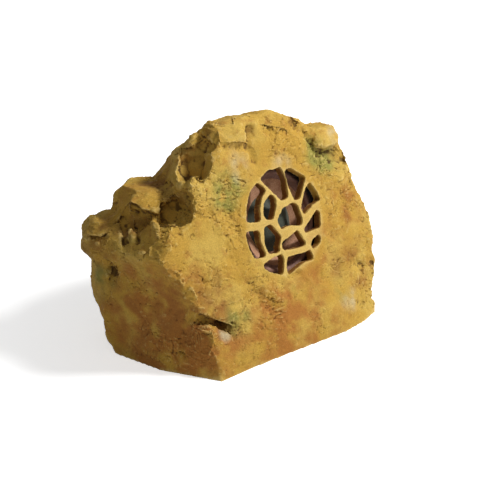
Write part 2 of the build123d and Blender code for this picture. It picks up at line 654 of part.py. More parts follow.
    flex_start = board_front + RIVET_HEAD_DEPTH + FLEX_RADIUS
    flex_path = ThreePointArc(
        (0, -board_middle, flex_start),
        (0, -board_middle + 5, (flex_start + flex_end) / 2 + 3),
        (0, -flex_end_radius, flex_end),
    )
    flex_face = Plane(origin=flex_path @ 0, z_dir=flex_path % 0) * Circle(FLEX_RADIUS)
    flex = sweep(flex_face, flex_path)
    save("flex_leads", DRIVER.location * Compound([Pos(side, 0, 0) * flex for side in poles]))

    # Cable gland
    inner_face = -GLAND_BOSS_WALL
    washer_top = GLAND_WASHER
    hex_top = washer_top + GLAND_HEX_DEPTH
    sleeve_top = hex_top + GLAND_SLEEVE_DEPTH
    cap_low = hex_top + 0.5
    cap_high = cap_low + GLAND_CAP_DEPTH
    tail = inner_face - GLAND_NUT - GLAND_TAIL
    hexagon = extrude(RegularPolygon(GLAND_HEX / 2, 6, major_radius=False), amount=GLAND_HEX_DEPTH)
    body = Pos(0, 0, washer_top) * hexagon
    body += rod(GLAND_THREAD, tail, washer_top) + rod(GLAND_SLEEVE, hex_top, sleeve_top)
    body -= rod(GLAND_BORE, tail, sleeve_top)
    save("gland_body", gland * body)
    save("gland_washer", gland * ring(GLAND_WASHER_RADIUS, GLAND_THREAD + THREAD_CLEARANCE, 0, washer_top))
    nut = extrude(RegularPolygon(GLAND_HEX / 2 + 1, 6, major_radius=False), amount=GLAND_NUT)
    nut -= rod(GLAND_THREAD + THREAD_CLEARANCE, 0, GLAND_NUT)
    save("gland_nut", gland * Pos(0, 0, inner_face - GLAND_NUT) * nut)
    seal_low = washer_top
    seal_high = cap_high - 1.8
    insert = ring(GLAND_BORE - THREAD_CLEARANCE, GLAND_CABLE, seal_low, seal_high)
    save("gland_seal", gland * insert)
    cap_hexagon = RegularPolygon(GLAND_CAP_HEX / 2, 6, major_radius=False)
    cap = Pos(0, 0, cap_low) * extrude(cap_hexagon, amount=GLAND_CAP_DEPTH)
    cap_dome = [(0, cap_low), (GLAND_CAP_HEX, cap_low), (GLAND_CAP_HEX, cap_high - 6)]
    cap_dome += [(GLAND_CAP_HEX * 0.36, cap_high), (0, cap_high)]
    cap &= turned(cap_dome)
    cap -= rod(GLAND_SLEEVE + THREAD_CLEARANCE, cap_low, sleeve_top + 0.3)
    cap -= rod(GLAND_BORE, cap_low, seal_high)
    cap -= rod(GLAND_CAP_HOLE, cap_low, cap_high)
    save("gland_cap", gland * cap)

    # Wiring block and inner leads
    sleeve_axis = BLOCK_HEIGHT / 2
    body = Pos(0, 0, sleeve_axis) * Box(BLOCK_LENGTH, BLOCK_DEPTH, BLOCK_HEIGHT)
    sleeve_along = Rot(-90, 0, 0)
    clamp_shift = SLEEVE_LENGTH / 4
    sleeve_bar = rod(SLEEVE_RADIUS, -SLEEVE_LENGTH / 2, SLEEVE_LENGTH / 2)
    sleeve_hole = rod(SLEEVE_BORE, -BLOCK_DEPTH, BLOCK_DEPTH)
    sleeve_room = rod(SLEEVE_RADIUS + PILOT_CLEARANCE, -BLOCK_DEPTH, BLOCK_DEPTH)
    clamp_top = BLOCK_HEIGHT - sleeve_axis - 1.5
    clamp_tip = SLEEVE_BORE * 0.7
    clamp_hole = rod(CLAMP_RADIUS + PILOT_CLEARANCE, 0, BLOCK_HEIGHT)
    clamp_room = rod(CLAMP_HEAD + PILOT_CLEARANCE, 0, BLOCK_HEIGHT)
    clamp_neck = SLEEVE_RADIUS + 0.5
    clamp = rod(CLAMP_RADIUS, clamp_tip, clamp_neck) + rod(CLAMP_HEAD, clamp_neck, clamp_top)
    clamp -= Pos(0, 0, clamp_top) * Box(CLAMP_HEAD * 2.2, 0.8, 1.6)
    sleeves = []
    clamps = []
    for side in poles:
        place = Pos(side, 0, sleeve_axis)
        body -= place * sleeve_along * sleeve_room
        sleeve = place * sleeve_along * (sleeve_bar - sleeve_hole)
        for shift in (-clamp_shift, clamp_shift):
            body -= place * Pos(0, shift, 0) * clamp_room
            sleeve -= place * Pos(0, shift, 0) * clamp_hole
            clamps.append(place * Pos(0, shift, 0) * clamp)
        sleeves.append(sleeve)
    body -= rod(FIXING_RADIUS + SCREW_CLEARANCE, 0, BLOCK_HEIGHT)
    fixing_seat = BLOCK_HEIGHT * 0.5
    body -= rod(FIXING_HEAD + SCREW_CLEARANCE, fixing_seat, BLOCK_HEIGHT)
    save("wiring_block", block_place * body)
    save("block_sleeves", block_place * Compound(sleeves))
    save("block_clamps", block_place * Compound(clamps))
    fixing = Rot(180, 0, 0) * screw(FIXING_RADIUS, FIXING_HEAD, FIXING_HEAD * 0.7, fixing_seat + fixing_grip)
    save("block_screw", block_place * Pos(0, 0, fixing_seat) * fixing)

    entry_height = plate_high + sleeve_axis
    for name, side in (("lead_positive", poles[0]), ("lead_negative", poles[1])):
        shift = Vector(side, 0, 0)
        start = DRIVER.from_local_coords((side, -tag_tip + LEAD_LAP, lead_height))
        drop = Vector(lead_drop.X, lead_drop.Y, entry_height) + shift
        finish = Vector(lead_drop.X, block_front + LEAD_ENTRY, entry_height) + shift
        path = FilletPolyline(start, lead_drop + shift, drop, finish, radius=LEAD_BEND * 0.8)
        lead = sweep(Plane(origin=path @ 0, z_dir=path % 0) * Circle(LEAD_RADIUS), path)
        save(name, lead)


main()
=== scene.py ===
"""Garden loudspeaker cast as an ochre boulder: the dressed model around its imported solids."""

import itertools
import json
import logging
import math
from dataclasses import dataclass, field
from enum import Enum
from typing import Any, Optional, Union

import bpy
import numpy as np
from mathutils import Matrix, Vector
from mathutils.bvhtree import BVHTree

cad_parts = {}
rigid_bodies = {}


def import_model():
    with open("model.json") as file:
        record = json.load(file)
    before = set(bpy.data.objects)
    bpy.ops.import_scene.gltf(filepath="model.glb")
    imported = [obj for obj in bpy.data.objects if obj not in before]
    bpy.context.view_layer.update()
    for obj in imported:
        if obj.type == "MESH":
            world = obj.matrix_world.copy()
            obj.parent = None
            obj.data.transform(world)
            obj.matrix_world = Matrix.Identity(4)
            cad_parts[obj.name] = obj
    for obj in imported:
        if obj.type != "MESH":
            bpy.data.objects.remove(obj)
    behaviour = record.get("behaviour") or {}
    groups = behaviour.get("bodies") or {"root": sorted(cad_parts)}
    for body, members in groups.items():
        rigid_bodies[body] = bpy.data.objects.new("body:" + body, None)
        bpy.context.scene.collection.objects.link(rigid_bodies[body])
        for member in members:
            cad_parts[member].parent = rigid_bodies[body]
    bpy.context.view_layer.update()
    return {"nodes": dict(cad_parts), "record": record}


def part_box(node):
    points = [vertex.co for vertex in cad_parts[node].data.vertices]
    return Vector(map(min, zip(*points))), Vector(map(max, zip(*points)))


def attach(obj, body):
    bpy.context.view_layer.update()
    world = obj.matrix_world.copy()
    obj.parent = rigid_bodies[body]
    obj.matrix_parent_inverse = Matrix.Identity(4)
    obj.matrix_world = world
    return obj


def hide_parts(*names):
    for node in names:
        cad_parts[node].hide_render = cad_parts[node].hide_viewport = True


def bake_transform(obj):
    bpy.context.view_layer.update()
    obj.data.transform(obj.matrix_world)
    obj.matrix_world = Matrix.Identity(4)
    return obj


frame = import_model()

MM = 0.001
LOG = logging.getLogger("garden_stone")
Point = tuple[float, float, float]
Socket = bpy.types.NodeSocket


def linear(hex_colour: str) -> tuple[float, float, float, float]:
    """Turn an sRGB hex colour into linear light.

    Args:
        hex_colour: Six hex digits, with a leading hash.

    Returns:
        Red, green, blue and a full alpha.
    """
    parts = [int(hex_colour[place:place + 2], 16) / 255 for place in (1, 3, 5)]
    light = [part / 12.92 if part <= 0.04045 else ((part + 0.055) / 1.055) ** 2.4 for part in parts]
    return (*light, 1.0)


def add(
    tree: bpy.types.NodeTree,
    kind: str,
    values: Optional[dict[Union[str, int], Any]] = None,
    **settings: Any,
) -> bpy.types.Node:
    """Add one node to a material.

    Args:
        tree: Node tree that takes the node.
        kind: Blender's name of the node's type.
        values: Value or linked socket for each named or numbered input.
        settings: Properties of the node itself.

    Returns:
        The new node.
    """
    node = tree.nodes.new(kind)
    for name, value in settings.items():
        setattr(node, name, value)
    for key, value in (values or {}).items():
        if isinstance(value, Socket):
            tree.links.new(value, node.inputs[key])
        else:
            node.inputs[key].default_value = value
    return node


def seen_directly(tree: bpy.types.NodeTree) -> Socket:
    """Give one for rays from the camera, a mirror or clear glass, zero for the rest."""
    path = add(tree, "ShaderNodeLightPath")
    seen = path.outputs["Is Camera Ray"]
    for kind in ("Is Glossy Ray", "Is Transmission Ray"):
        seen = add(tree, "ShaderNodeMath", {0: seen, 1: path.outputs[kind]}, operation="MAXIMUM").outputs[0]
    return seen


def choose(piece: bpy.types.Object) -> None:
    """Select one piece alone and make it active."""
    bpy.ops.object.select_all(action="DESELECT")
    piece.select_set(True)
    bpy.context.view_layer.objects.active = piece


def merged_copy(node: str, name: str) -> bpy.types.Object:
    """Copy a node's solid as a new piece, with its points merged.

    Args:
        node: Name of the CAD node.
        name: Name of the new piece.

    Returns:
        The copy.
    """
    piece = bpy.data.objects.new(name, frame["nodes"][node].data.copy())
    bpy.context.scene.collection.objects.link(piece)
    choose(piece)
    bpy.ops.object.mode_set(mode="EDIT")
    bpy.ops.mesh.select_all(action="SELECT")
    bpy.ops.mesh.remove_doubles(threshold=0.001 * MM)
    bpy.ops.object.mode_set(mode="OBJECT")
    return piece


def finish_with(piece: bpy.types.Object, kind: str, **settings: Any) -> None:
    """Put one modifier on a piece and apply it.

    Args:
        piece: Mesh object to change.
        kind: Modifier type.
        settings: Properties of the modifier.
    """
    choose(piece)
    modifier = piece.modifiers.new(kind.title(), kind)
    for name, value in settings.items():
        setattr(modifier, name, value)
    bpy.ops.object.modifier_apply(modifier=modifier.name)


def smoothstep(values: np.ndarray, low: float, high: float) -> np.ndarray:
    """Rise smoothly from zero at low to one at high.

    Args:
        values: Numbers to shape.
        low: Value that gives zero.
        high: Value that gives one.

    Returns:
        Numbers from zero to one.
    """
    share = np.clip((values - low) / (high - low), 0.0, 1.0)
    return share * share * (3 - 2 * share)


@dataclass(frozen=True)
class Grain:
    """Seeded noise in space that the stone is broken and tinted with."""

    seed: int

    def draws(self, cells: np.ndarray, count: int) -> np.ndarray:
        """Draw even random numbers for lattice cells.

        Args:
            cells: Whole-number cell places, one row each.
            count: Numbers to draw for each cell.

        Returns:
            Numbers from zero to one, one row for each cell.
        """
        mixed = cells.astype(np.int64) @ np.array((73856093, 19349663, 83492791)) + self.seed * 2654435761
        numbers = (mixed[:, None] + np.arange(count) * 0x9E3779B9) & 0xFFFFFFFF
        for _ in range(2):
            numbers = ((numbers ^ (numbers >> 16)) * 0x45D9F3B) & 0xFFFFFFFF
        return (numbers ^ (numbers >> 16)) / 0xFFFFFFFF

    def waves(self, points: np.ndarray, size: float) -> np.ndarray:
        """Give smooth noise from about minus one to one.

        Args:
            points: Places in space.
            size: Distance between humps.

        Returns:
            One number for each point.
        """
        scaled = points / size
        base = np.floor(scaled)
        part = scaled - base
        fade = part ** 3 * (part * (part * 6 - 15) + 10)
        total = np.zeros(len(points))
        for corner in itertools.product((0, 1), repeat=3):
            slopes = self.draws(base + corner, 3) * 2 - 1
            weight = np.prod(np.where(corner, fade, 1 - fade), axis=1)
            total += weight * np.einsum("ij,ij->i", slopes, part - corner)
        return total * 1.6

    def layers(self, points: np.ndarray, size: float, count: int) -> np.ndarray:
        """Add noise of halving size and height.

        Args:
            points: Places in space.
            size: Distance between the largest humps.
            count: Number of layers.

        Returns:
            One number for each point.
        """
        return sum(self.waves(points + 31.7 * n, size / 2 ** n) / 2 ** n for n in range(count))

    def chips(self, points: np.ndarray, size: float) -> tuple[np.ndarray, np.ndarray, np.ndarray]:
        """Split space into broken chips.

        Args:
            points: Places in space.
            size: Width of a chip.

        Returns:
            Nearness of the chip's border, offset from its middle, and four draws that belong to it.
        """
        scaled = points / size
        base = np.floor(scaled)
        nearest = np.full(len(points), np.inf)
        second = np.full(len(points), np.inf)
        offset = np.zeros((len(points), 3))
        marks = np.zeros((len(points), 4))
        for corner in itertools.product((-1, 0, 1), repeat=3):
            cell = base + corner
            draws = self.draws(cell, 7)
            away = scaled - cell - draws[:, :3]
            gap = np.linalg.norm(away, axis=1)
            closer = gap < nearest
            second = np.where(closer, nearest, np.minimum(second, gap))
            nearest = np.where(closer, gap, nearest)
            offset[closer] = away[closer]
            marks[closer] = draws[closer, 3:]
        return second - nearest, offset, marks


class Work(Enum):
    """Which way a stroke of the modelling tool moves the stone."""

    RAISE = 1.0
    CUT = -1.0


@dataclass(frozen=True)
class Stroke:
    """One stroke of the modelling tool along a path, in millimetres."""

    work: Work
    width: float
    depth: float
    path: tuple[Point, ...]

    def share(self, points: np.ndarray) -> np.ndarray:
        """Give how strongly the stroke works each point.

        Args:
            points: Places in millimetres.

        Returns:
            One on the path, falling to zero at the stroke's width.
        """
        ends = self.path if len(self.path) > 1 else self.path * 2
        gap = np.full(len(points), np.inf)
        for start, stop in zip(np.array(ends[:-1], float), np.array(ends[1:], float)):
            run = stop - start
            along = np.clip((points - start) @ run / max(run @ run, 1e-9), 0, 1)
            gap = np.minimum(gap, np.linalg.norm(points - start - along[:, None] * run, axis=1))
        return np.clip(1 - (gap / self.width) ** 2, 0, 1) ** 2


@dataclass(frozen=True)
class Patch:
    """A round patch on the stone, in millimetres."""

    place: Point
    radius: float
    strength: float = 1.0

    def share(self, points: np.ndarray) -> np.ndarray:
        """Give the patch's strength at points in millimetres, fading to its radius."""
        gap = np.linalg.norm(points - np.array(self.place), axis=1)
        return self.strength * smoothstep(-gap, -self.radius, 0.0)


@dataclass(frozen=True)
class DriverSeat:
    """Where the driver's axis leaves the leaning front of the stone."""

    lean: float = math.radians(18)
    front: float = -111 * MM
    side: float = 30 * MM
    rise: float = 154 * MM

    @property
    def matrix(self) -> Matrix:
        """Place of the driver's own frame, with its axis as Z."""
        across = Vector((1, 0, 0))
        up = Vector((0, math.sin(self.lean), math.cos(self.lean)))
        out = Vector((0, -math.cos(self.lean), math.sin(self.lean)))
        place = Vector((self.side, self.front, 0)) + up * self.rise
        turned = Matrix((across, up, out)).transposed().to_4x4()
        return Matrix.Translation(place) @ turned

    def local(self, points: np.ndarray) -> np.ndarray:
        """Points in millimetres in the driver's own frame."""
        inverse = np.array(self.matrix.inverted())
        return points @ inverse[:3, :3].T + inverse[:3, 3] / MM

    def radius_of(self, points: np.ndarray) -> np.ndarray:
        """Distance of points in millimetres from the driver's axis."""
        return np.linalg.norm(self.local(points)[:, :2], axis=1)

    def height_of(self, points: np.ndarray) -> np.ndarray:
        """Height of points in millimetres over the stone's front face."""
        return self.local(points)[:, 2]


SEAT = DriverSeat()


@dataclass(frozen=True)
class View:
    """The photograph's view of the object: lengths in metres, angles in degrees, a square picture."""

    target: Point = (-0.008, -0.022, 0.120)
    azimuth: float = -44.0
    elevation: float = 20.0
    distance: float = 1.3
    lens: float = 78.75
    sensor: float = 36.0
    picture: int = 480

    def ray(self, azimuth: float, elevation: float) -> Vector:
        """Direction from the object towards an azimuth and elevation in degrees."""
        flat = math.cos(math.radians(elevation))
        side = math.radians(azimuth)
        return Vector((math.sin(side) * flat, -math.cos(side) * flat, math.sin(math.radians(elevation))))

    @property
    def back(self) -> Vector:
        """Direction from the object towards the eye."""
        return self.ray(self.azimuth, self.elevation)

    @property
    def eye(self) -> Vector:
        """Place of the eye."""
        return Vector(self.target) + self.back * self.distance

    def pixels(self, points: np.ndarray) -> np.ndarray:
        """Give where the picture shows points in millimetres.

        Args:
            points: Places on the object.

        Returns:
            Across and down in the picture's pixels, one row for each point.
        """
        turn = np.array(self.back.to_track_quat("Z", "Y").to_matrix())
        seen = (points * MM - np.array(self.eye)) @ turn
        scale = self.picture * self.lens / self.sensor / -seen[:, 2]
        middle = self.picture / 2
        return np.stack([middle + seen[:, 0] * scale, middle - seen[:, 1] * scale], axis=1)


VIEW = View()


@dataclass(frozen=True)
class Facet:
    """A flat broken face as the photograph outlines it.

    Each corner is its place in the picture, across and down in pixels, and its lift in millimetres
    towards the eye, so that unlike lifts tilt the face.
    """

    corners: tuple[Point, ...]

    def lift(self, pixels: np.ndarray) -> np.ndarray:
        """Give the face's lift at places in the picture.

        Args:
            pixels: Across and down, one row each.

        Returns:
            Lift in millimetres, zero outside the face.
        """
        corners = np.array(self.corners, float)
        across, down = pixels.T
        inside = np.zeros(len(pixels), dtype=bool)
        for (x0, y0, _), (x1, y1, _) in zip(corners, np.roll(corners, -1, axis=0)):
            if y0 == y1:
                continue
            crossing = x0 + (down - y0) * (x1 - x0) / (y1 - y0)
            inside ^= ((y0 > down) != (y1 > down)) & (across < crossing)
        flat = np.column_stack([corners[:, :2], np.ones(len(corners))])
        plane = np.linalg.lstsq(flat, corners[:, 2], rcond=None)[0]
        height = across * plane[0] + down * plane[1] + plane[2]
        return np.where(inside, np.clip(height, corners[:, 2].min(), corners[:, 2].max()), 0.0)


class Coat:
    """A finish that makes its material once and puts it on pieces."""

    name: str

    def material(self) -> bpy.types.Material:
        """Return this coat's material, made on first use."""
        known = bpy.data.materials.get(self.name)
        if known and known.get("dressed"):
            return known
        made = bpy.data.materials.new(self.name)
        made["dressed"] = True
        made.use_nodes = True
        self.mix(made.node_tree, made.node_tree.nodes["Principled BSDF"])
        return made

    def mix(self, tree: bpy.types.NodeTree, shader: bpy.types.Node) -> None:
        """Build the nodes of the coat.

        Args:
            tree: Node tree of the material.
            shader: Its main shader node.
        """
        raise NotImplementedError

    def dress(self, piece: bpy.types.Object) -> None:
        """Put the coat on a piece."""
        piece.data.materials.clear()
        piece.data.materials.append(self.material())


@dataclass(frozen=True)
class CastResin(Coat):
    """Ochre cast resin with hand-sponged washes, matt, with grit, a dark wash and painted shade in its
    hollows, and painted shade where it lies in shadow.
    """

    name: str = "cast_resin_stone"
    ochre: str = "#BC9339"
    honey: str = "#CAA950"
    clay: str = "#A9762F"
    rust: str = "#A3662A"
    moss: str = "#85873E"
    chalk: str = "#CBBE98"
    # Painted shade colour where the stone lies in shadow
    painted_shade_brown: str = "#754A1F"
    # Colour of the dark wash and painted shade in the hollows
    umber: str = "#4C3114"
    straw: str = "#DEC074"
    cloud_mm: float = 55.0
    blotch_mm: float = 14.0
    grit_mm: float = 1.6

    def mix(self, tree: bpy.types.NodeTree, shader: bpy.types.Node) -> None:
        """Layer the washes and the painted shade over the ochre and add the grit."""
        place = add(tree, "ShaderNodeTexCoord").outputs["Object"]
        grains = ((self.cloud_mm, 3.0, 0.5), (self.blotch_mm, 5.0, 0.6), (self.grit_mm, 3.0, 0.65))
        cloud, blotch, grit = [
            add(tree, "ShaderNodeTexNoise", {
                "Vector": place, "Scale": 1 / (size * MM), "Detail": detail, "Roughness": roughness,
            }).outputs["Fac"]
            for size, detail, roughness in grains
        ]
        colour: Any = linear(self.ochre)
        layers = (
            (self.honey, cloud, 0.42, 0.66, 0.8),
            (self.clay, blotch, 0.50, 0.74, 0.7),
            # Rust wash, also laid as painted shade on the walls of the pierced front
            (self.rust, "rust_wash_and_wall_shade", 0.0, 1.0, 0.85),
            (self.moss, "wash_moss", 0.0, 1.0, 0.8),
            (self.chalk, "wash_chalk", 0.0, 1.0, 0.8),
            # Painted shade where the stone lies in shadow
            (self.painted_shade_brown, "umber_painted_shade", 0.0, 1.0, 0.8),
            # Dark wash and painted shade in the creases, hollows and the pierced front's walls
            (self.umber, "hollow", 0.0, 1.0, 0.85),
            (self.straw, "crest", 0.0, 1.0, 0.6),
        )
        for tint, source, low, high, most in layers:
            if isinstance(source, str):
                source = add(tree, "ShaderNodeAttribute", attribute_name=source).outputs["Fac"]
            amount = add(tree, "ShaderNodeMapRange", {
                "Value": source, "From Min": low, "From Max": high, "To Max": most,
            }, interpolation_type="SMOOTHSTEP")
            layer = {0: amount.outputs[0], 6: colour, 7: linear(tint)}
            colour = add(tree, "ShaderNodeMix", layer, data_type="RGBA").outputs[2]
        speck = add(tree, "ShaderNodeMapRange", {
            "Value": grit, "From Min": 0.3, "From Max": 0.7, "To Min": 0.80, "To Max": 1.14,
        })
        shade = add(tree, "ShaderNodeMix", {
            0: 1.0, 6: colour, 7: speck.outputs[0],
        }, data_type="RGBA", blend_type="MULTIPLY")
        bump = add(tree, "ShaderNodeBump", {"Height": grit, "Strength": 0.9, "Distance": 0.6 * MM})
        tree.links.new(shade.outputs[2], shader.inputs["Base Color"])
        tree.links.new(bump.outputs["Normal"], shader.inputs["Normal"])
        shader.inputs["Roughness"].default_value = 0.82
        shader.inputs["Specular IOR Level"].default_value = 0.25


@dataclass(frozen=True)
class Grained(Coat):
    """A dull moulded, sintered or painted skin with a fine mottled grain."""

    name: str
    colour: str
    fleck: str
    grain_mm: float
    roughness: float
    relief: float = 0.3
    metallic: float = 0.0
    stretch: Point = (1.0, 1.0, 1.0)

    def mix(self, tree: bpy.types.NodeTree, shader: bpy.types.Node) -> None:
        """Mottle the colour and raise the grain."""
        place = add(tree, "ShaderNodeTexCoord").outputs["Object"]
        drawn = add(tree, "ShaderNodeMapping", {"Vector": place, "Scale": self.stretch})
        grain = add(tree, "ShaderNodeTexNoise", {
            "Vector": drawn.outputs[0], "Scale": 1 / (self.grain_mm * MM), "Detail": 4.0,
        }).outputs["Fac"]
        amount = add(tree, "ShaderNodeMapRange", {
            "Value": grain, "From Min": 0.35, "From Max": 0.68,
        }, interpolation_type="SMOOTHSTEP")
        tone = add(tree, "ShaderNodeMix", {
            0: amount.outputs[0], 6: linear(self.colour), 7: linear(self.fleck),
        }, data_type="RGBA")
        dull = add(tree, "ShaderNodeMapRange", {
            "Value": grain, "From Min": 0.3, "From Max": 0.7,
            "To Min": self.roughness - 0.07, "To Max": self.roughness + 0.07,
        })
        bump = add(tree, "ShaderNodeBump", {
            "Height": grain, "Strength": self.relief, "Distance": 0.2 * self.grain_mm * MM,
        })
        tree.links.new(tone.outputs[2], shader.inputs["Base Color"])
        tree.links.new(dull.outputs[0], shader.inputs["Roughness"])
        tree.links.new(bump.outputs["Normal"], shader.inputs["Normal"])
        shader.inputs["Metallic"].default_value = self.metallic


COATS: dict[str, Coat] = {
    # Resin stone, cast and sponged: matt ochre with washes and grit, with painted shade in its hollows and
    # where it lies in shadow
    "stone_resin": CastResin(),
    # Black ABS, moulded: dark with a fine spark grain
    "foot_plastic": Grained("black_abs_spark_grain", "#232323", "#2E2D2C", 1.2, 0.55),
    # Closed-cell foam: soft black with open pores
    "foam_seal": Grained("closed_cell_foam", "#1F2022", "#303133", 1.4, 0.9, 0.6),
    # Zinc plating on pressed steel: pale grey with soft clouds
    "plated_steel": Grained("zinc_plated_screw_steel", "#C5C3BC", "#A9A79F", 1.5, 0.34, 0.05, 1.0),
    "zinc_steel": Grained("zinc_plated_pole_steel", "#BDBBB3", "#9D9B93", 3.0, 0.38, 0.05, 1.0),
    # Satin black paint on pressed steel: dark with a slight orange peel
    "painted_steel": Grained("satin_black_paint", "#1C1C1E", "#262628", 1.0, 0.45, 0.15),
    # Doped rubber cloth: mauve brown like the cone, dull
    "edge_rubber": Grained("doped_edge_rubber", "#8B6759", "#7A594C", 2.0, 0.8, 0.15),
    # Resin-dipped cotton: tan with a woven grain
    "spider_cloth": Grained("varnished_cotton", "#B08A4C", "#8F6C38", 0.8, 0.8, 0.5),
    # Treated paper pulp: mauve brown with short fibres
    "cone_paper": Grained("treated_cone_paper", "#B98C6C", "#A57757", 2.2, 0.85, 0.35),
    # Doped cloth dome: grey green, matt
    "cap_cloth": Grained("doped_cloth_cap", "#42473A", "#373C31", 1.6, 0.8, 0.35),
    # Aluminium foil: bright, faintly drawn
    "former_foil": Grained("aluminium_foil", "#D3D4D6", "#BFC0C3", 1.0, 0.3, 0.05, 1.0, (1.0, 6.0, 1.0)),
    # Enamelled copper wire: warm, close turns
    "copper_wire": Grained("enamelled_copper", "#C0793F", "#A9642F", 0.4, 0.35, 0.2, 1.0),
    # Sintered ferrite: charcoal with a ground face
    "ferrite": Grained("sintered_ferrite", "#3A3A3C", "#2D2D2F", 0.9, 0.6, 0.2),
    # Paper laminate: brown, faintly layered
    "board_laminate": Grained("phenolic_laminate", "#7B5229", "#694421", 1.5, 0.5, 0.1),
    # Tinned brass: pale yellow metal
    "tag_brass": Grained("tinned_brass", "#C9B27A", "#B59C62", 0.8, 0.32, 0.05, 1.0),
    # Polyamide: near black, moulded matt
    "gland_plastic": Grained("black_polyamide", "#27272A", "#313134", 0.9, 0.5, 0.15),
    # Nitrile rubber: dull black
    "seal_rubber": Grained("nitrile_rubber", "#242424", "#2E2E2D", 1.2, 0.8, 0.15),
    # Natural nylon: off-white, slightly clouded
    "block_plastic": Grained("natural_nylon", "#E0DDD2", "#D3CFC2", 2.0, 0.5, 0.1),
    # PVC sleeving: even colour with a soft sheen
    "lead_red": Grained("red_pvc_sleeving", "#A11A1A", "#8E1515", 2.0, 0.42, 0.05),
    "lead_black": Grained("black_pvc_sleeving", "#222224", "#2B2B2D", 2.0, 0.42, 0.05),
}


# Strokes where the photograph shows ribs, hollows, cracks and chips
STROKES: tuple[Stroke, ...] = (
    # Crumbled lobes and hollow below the bowl
    Stroke(Work.RAISE, 12, 4, ((-100, -45, 204), (-98, -50, 189))),
    Stroke(Work.RAISE, 9, 3, ((-87, -45, 205),)),
    Stroke(Work.CUT, 12, 5, ((-102, -24, 175),)),
    Stroke(Work.CUT, 12, 6, ((-138, -54, 176), (-123, -54, 177))),
    Stroke(Work.CUT, 11, 5, ((-104, -1, 201), (-103, -13, 185))),
    # Flutes under the flap of the middle block
    Stroke(Work.CUT, 8, 6, ((-148, 28, 170), (-157, 16, 160), (-166, 1, 148))),
    Stroke(Work.RAISE, 6, 4, ((-148, 14, 168), (-161, -4, 151))),
    Stroke(Work.CUT, 7, 5, ((-146, 7, 169), (-157, -10, 154))),
    Stroke(Work.RAISE, 8, 4, ((-145, -25, 170), (-150, -36, 164))),
    Stroke(Work.RAISE, 10, 5, ((-168, -7, 138),)),
    Stroke(Work.RAISE, 9, 5, ((-165, -27, 146),)),
    Stroke(Work.RAISE, 7, 3, ((-164, -14, 127),)),
    Stroke(Work.CUT, 9, 6, ((-164, 31, 104),)),
    Stroke(Work.CUT, 6, 4, ((-162, -7, 116),)),
    # Broad upright facets of the shaded flank
    Stroke(Work.RAISE, 20, 4, ((-148, -37, 63), (-145, -44, 47), (-145, -52, 31))),
    Stroke(Work.CUT, 18, 4, ((-140, -61, 60), (-140, -62, 33))),
    # Crown: groove under the slab and notches
    Stroke(Work.CUT, 7, 4, ((-45, -31, 246), (-28, -33, 242), (-9, -35, 240))),
    Stroke(Work.CUT, 9, 5, ((80, -29, 252), (76, -28, 256))),
    Stroke(Work.CUT, 8, 4, ((-5, -31, 246), (-2, -34, 236), (1, -38, 224))),
    # Ledge under the right shoulder
    Stroke(Work.CUT, 10, 6, ((94, -33, 239), (105, -40, 219), (129, -45, 204), (149, -47, 196))),
    Stroke(Work.RAISE, 17, 4, ((136, -39, 222), (123, -37, 229))),
    # Right edge
    Stroke(Work.CUT, 12, 6, ((146, -91, 63), (139, -103, 42), (126, -112, 24))),
    Stroke(Work.CUT, 9, 4, ((177, -68, 133),)),
    Stroke(Work.CUT, 9, 4, ((168, -91, 62),)),
    Stroke(Work.CUT, 3, 2.5, ((140, -62, 150), (150, -64, 144))),
    Stroke(Work.CUT, 3, 2.5, ((141, -68, 133), (142, -71, 124))),
    # Chip under the pierced front, cracks and steps across the front
    Stroke(Work.CUT, 7, 3, ((34, -84, 84), (25, -84, 83), (17, -84, 82))),
    Stroke(Work.CUT, 3.5, 2.5, ((-66, -52, 183), (-53, -54, 176), (-52, -57, 165), (-47, -62, 150))),
    Stroke(Work.CUT, 3.5, 2.5, ((-75, -41, 214), (-53, -43, 209), (-31, -46, 201))),
    Stroke(Work.CUT, 3.5, 2.5, ((-70, -46, 201), (-53, -47, 197), (-39, -49, 190))),
    Stroke(Work.CUT, 3.5, 2.0, ((-127, -78, 102), (-114, -85, 79), (-109, -86, 76))),
    Stroke(Work.CUT, 1.8, 0.8, ((-27, -90, 65), (1, -94, 56), (30, -99, 46))),
    Stroke(Work.CUT, 4, 2.5, ((-48, -82, 89), (-33, -86, 77), (-35, -91, 62), (-15, -104, 35))),
    Stroke(Work.CUT, 3, 1.5, ((47, -98, 49), (46, -106, 37))),
    # Crevice near the left foot
    Stroke(
        Work.CUT, 7, 6, ((-137, -73, 69), (-129, -82, 67), (-104, -80, 54), (-90, -90, 48), (-81, -97, 42)),
    ),
)

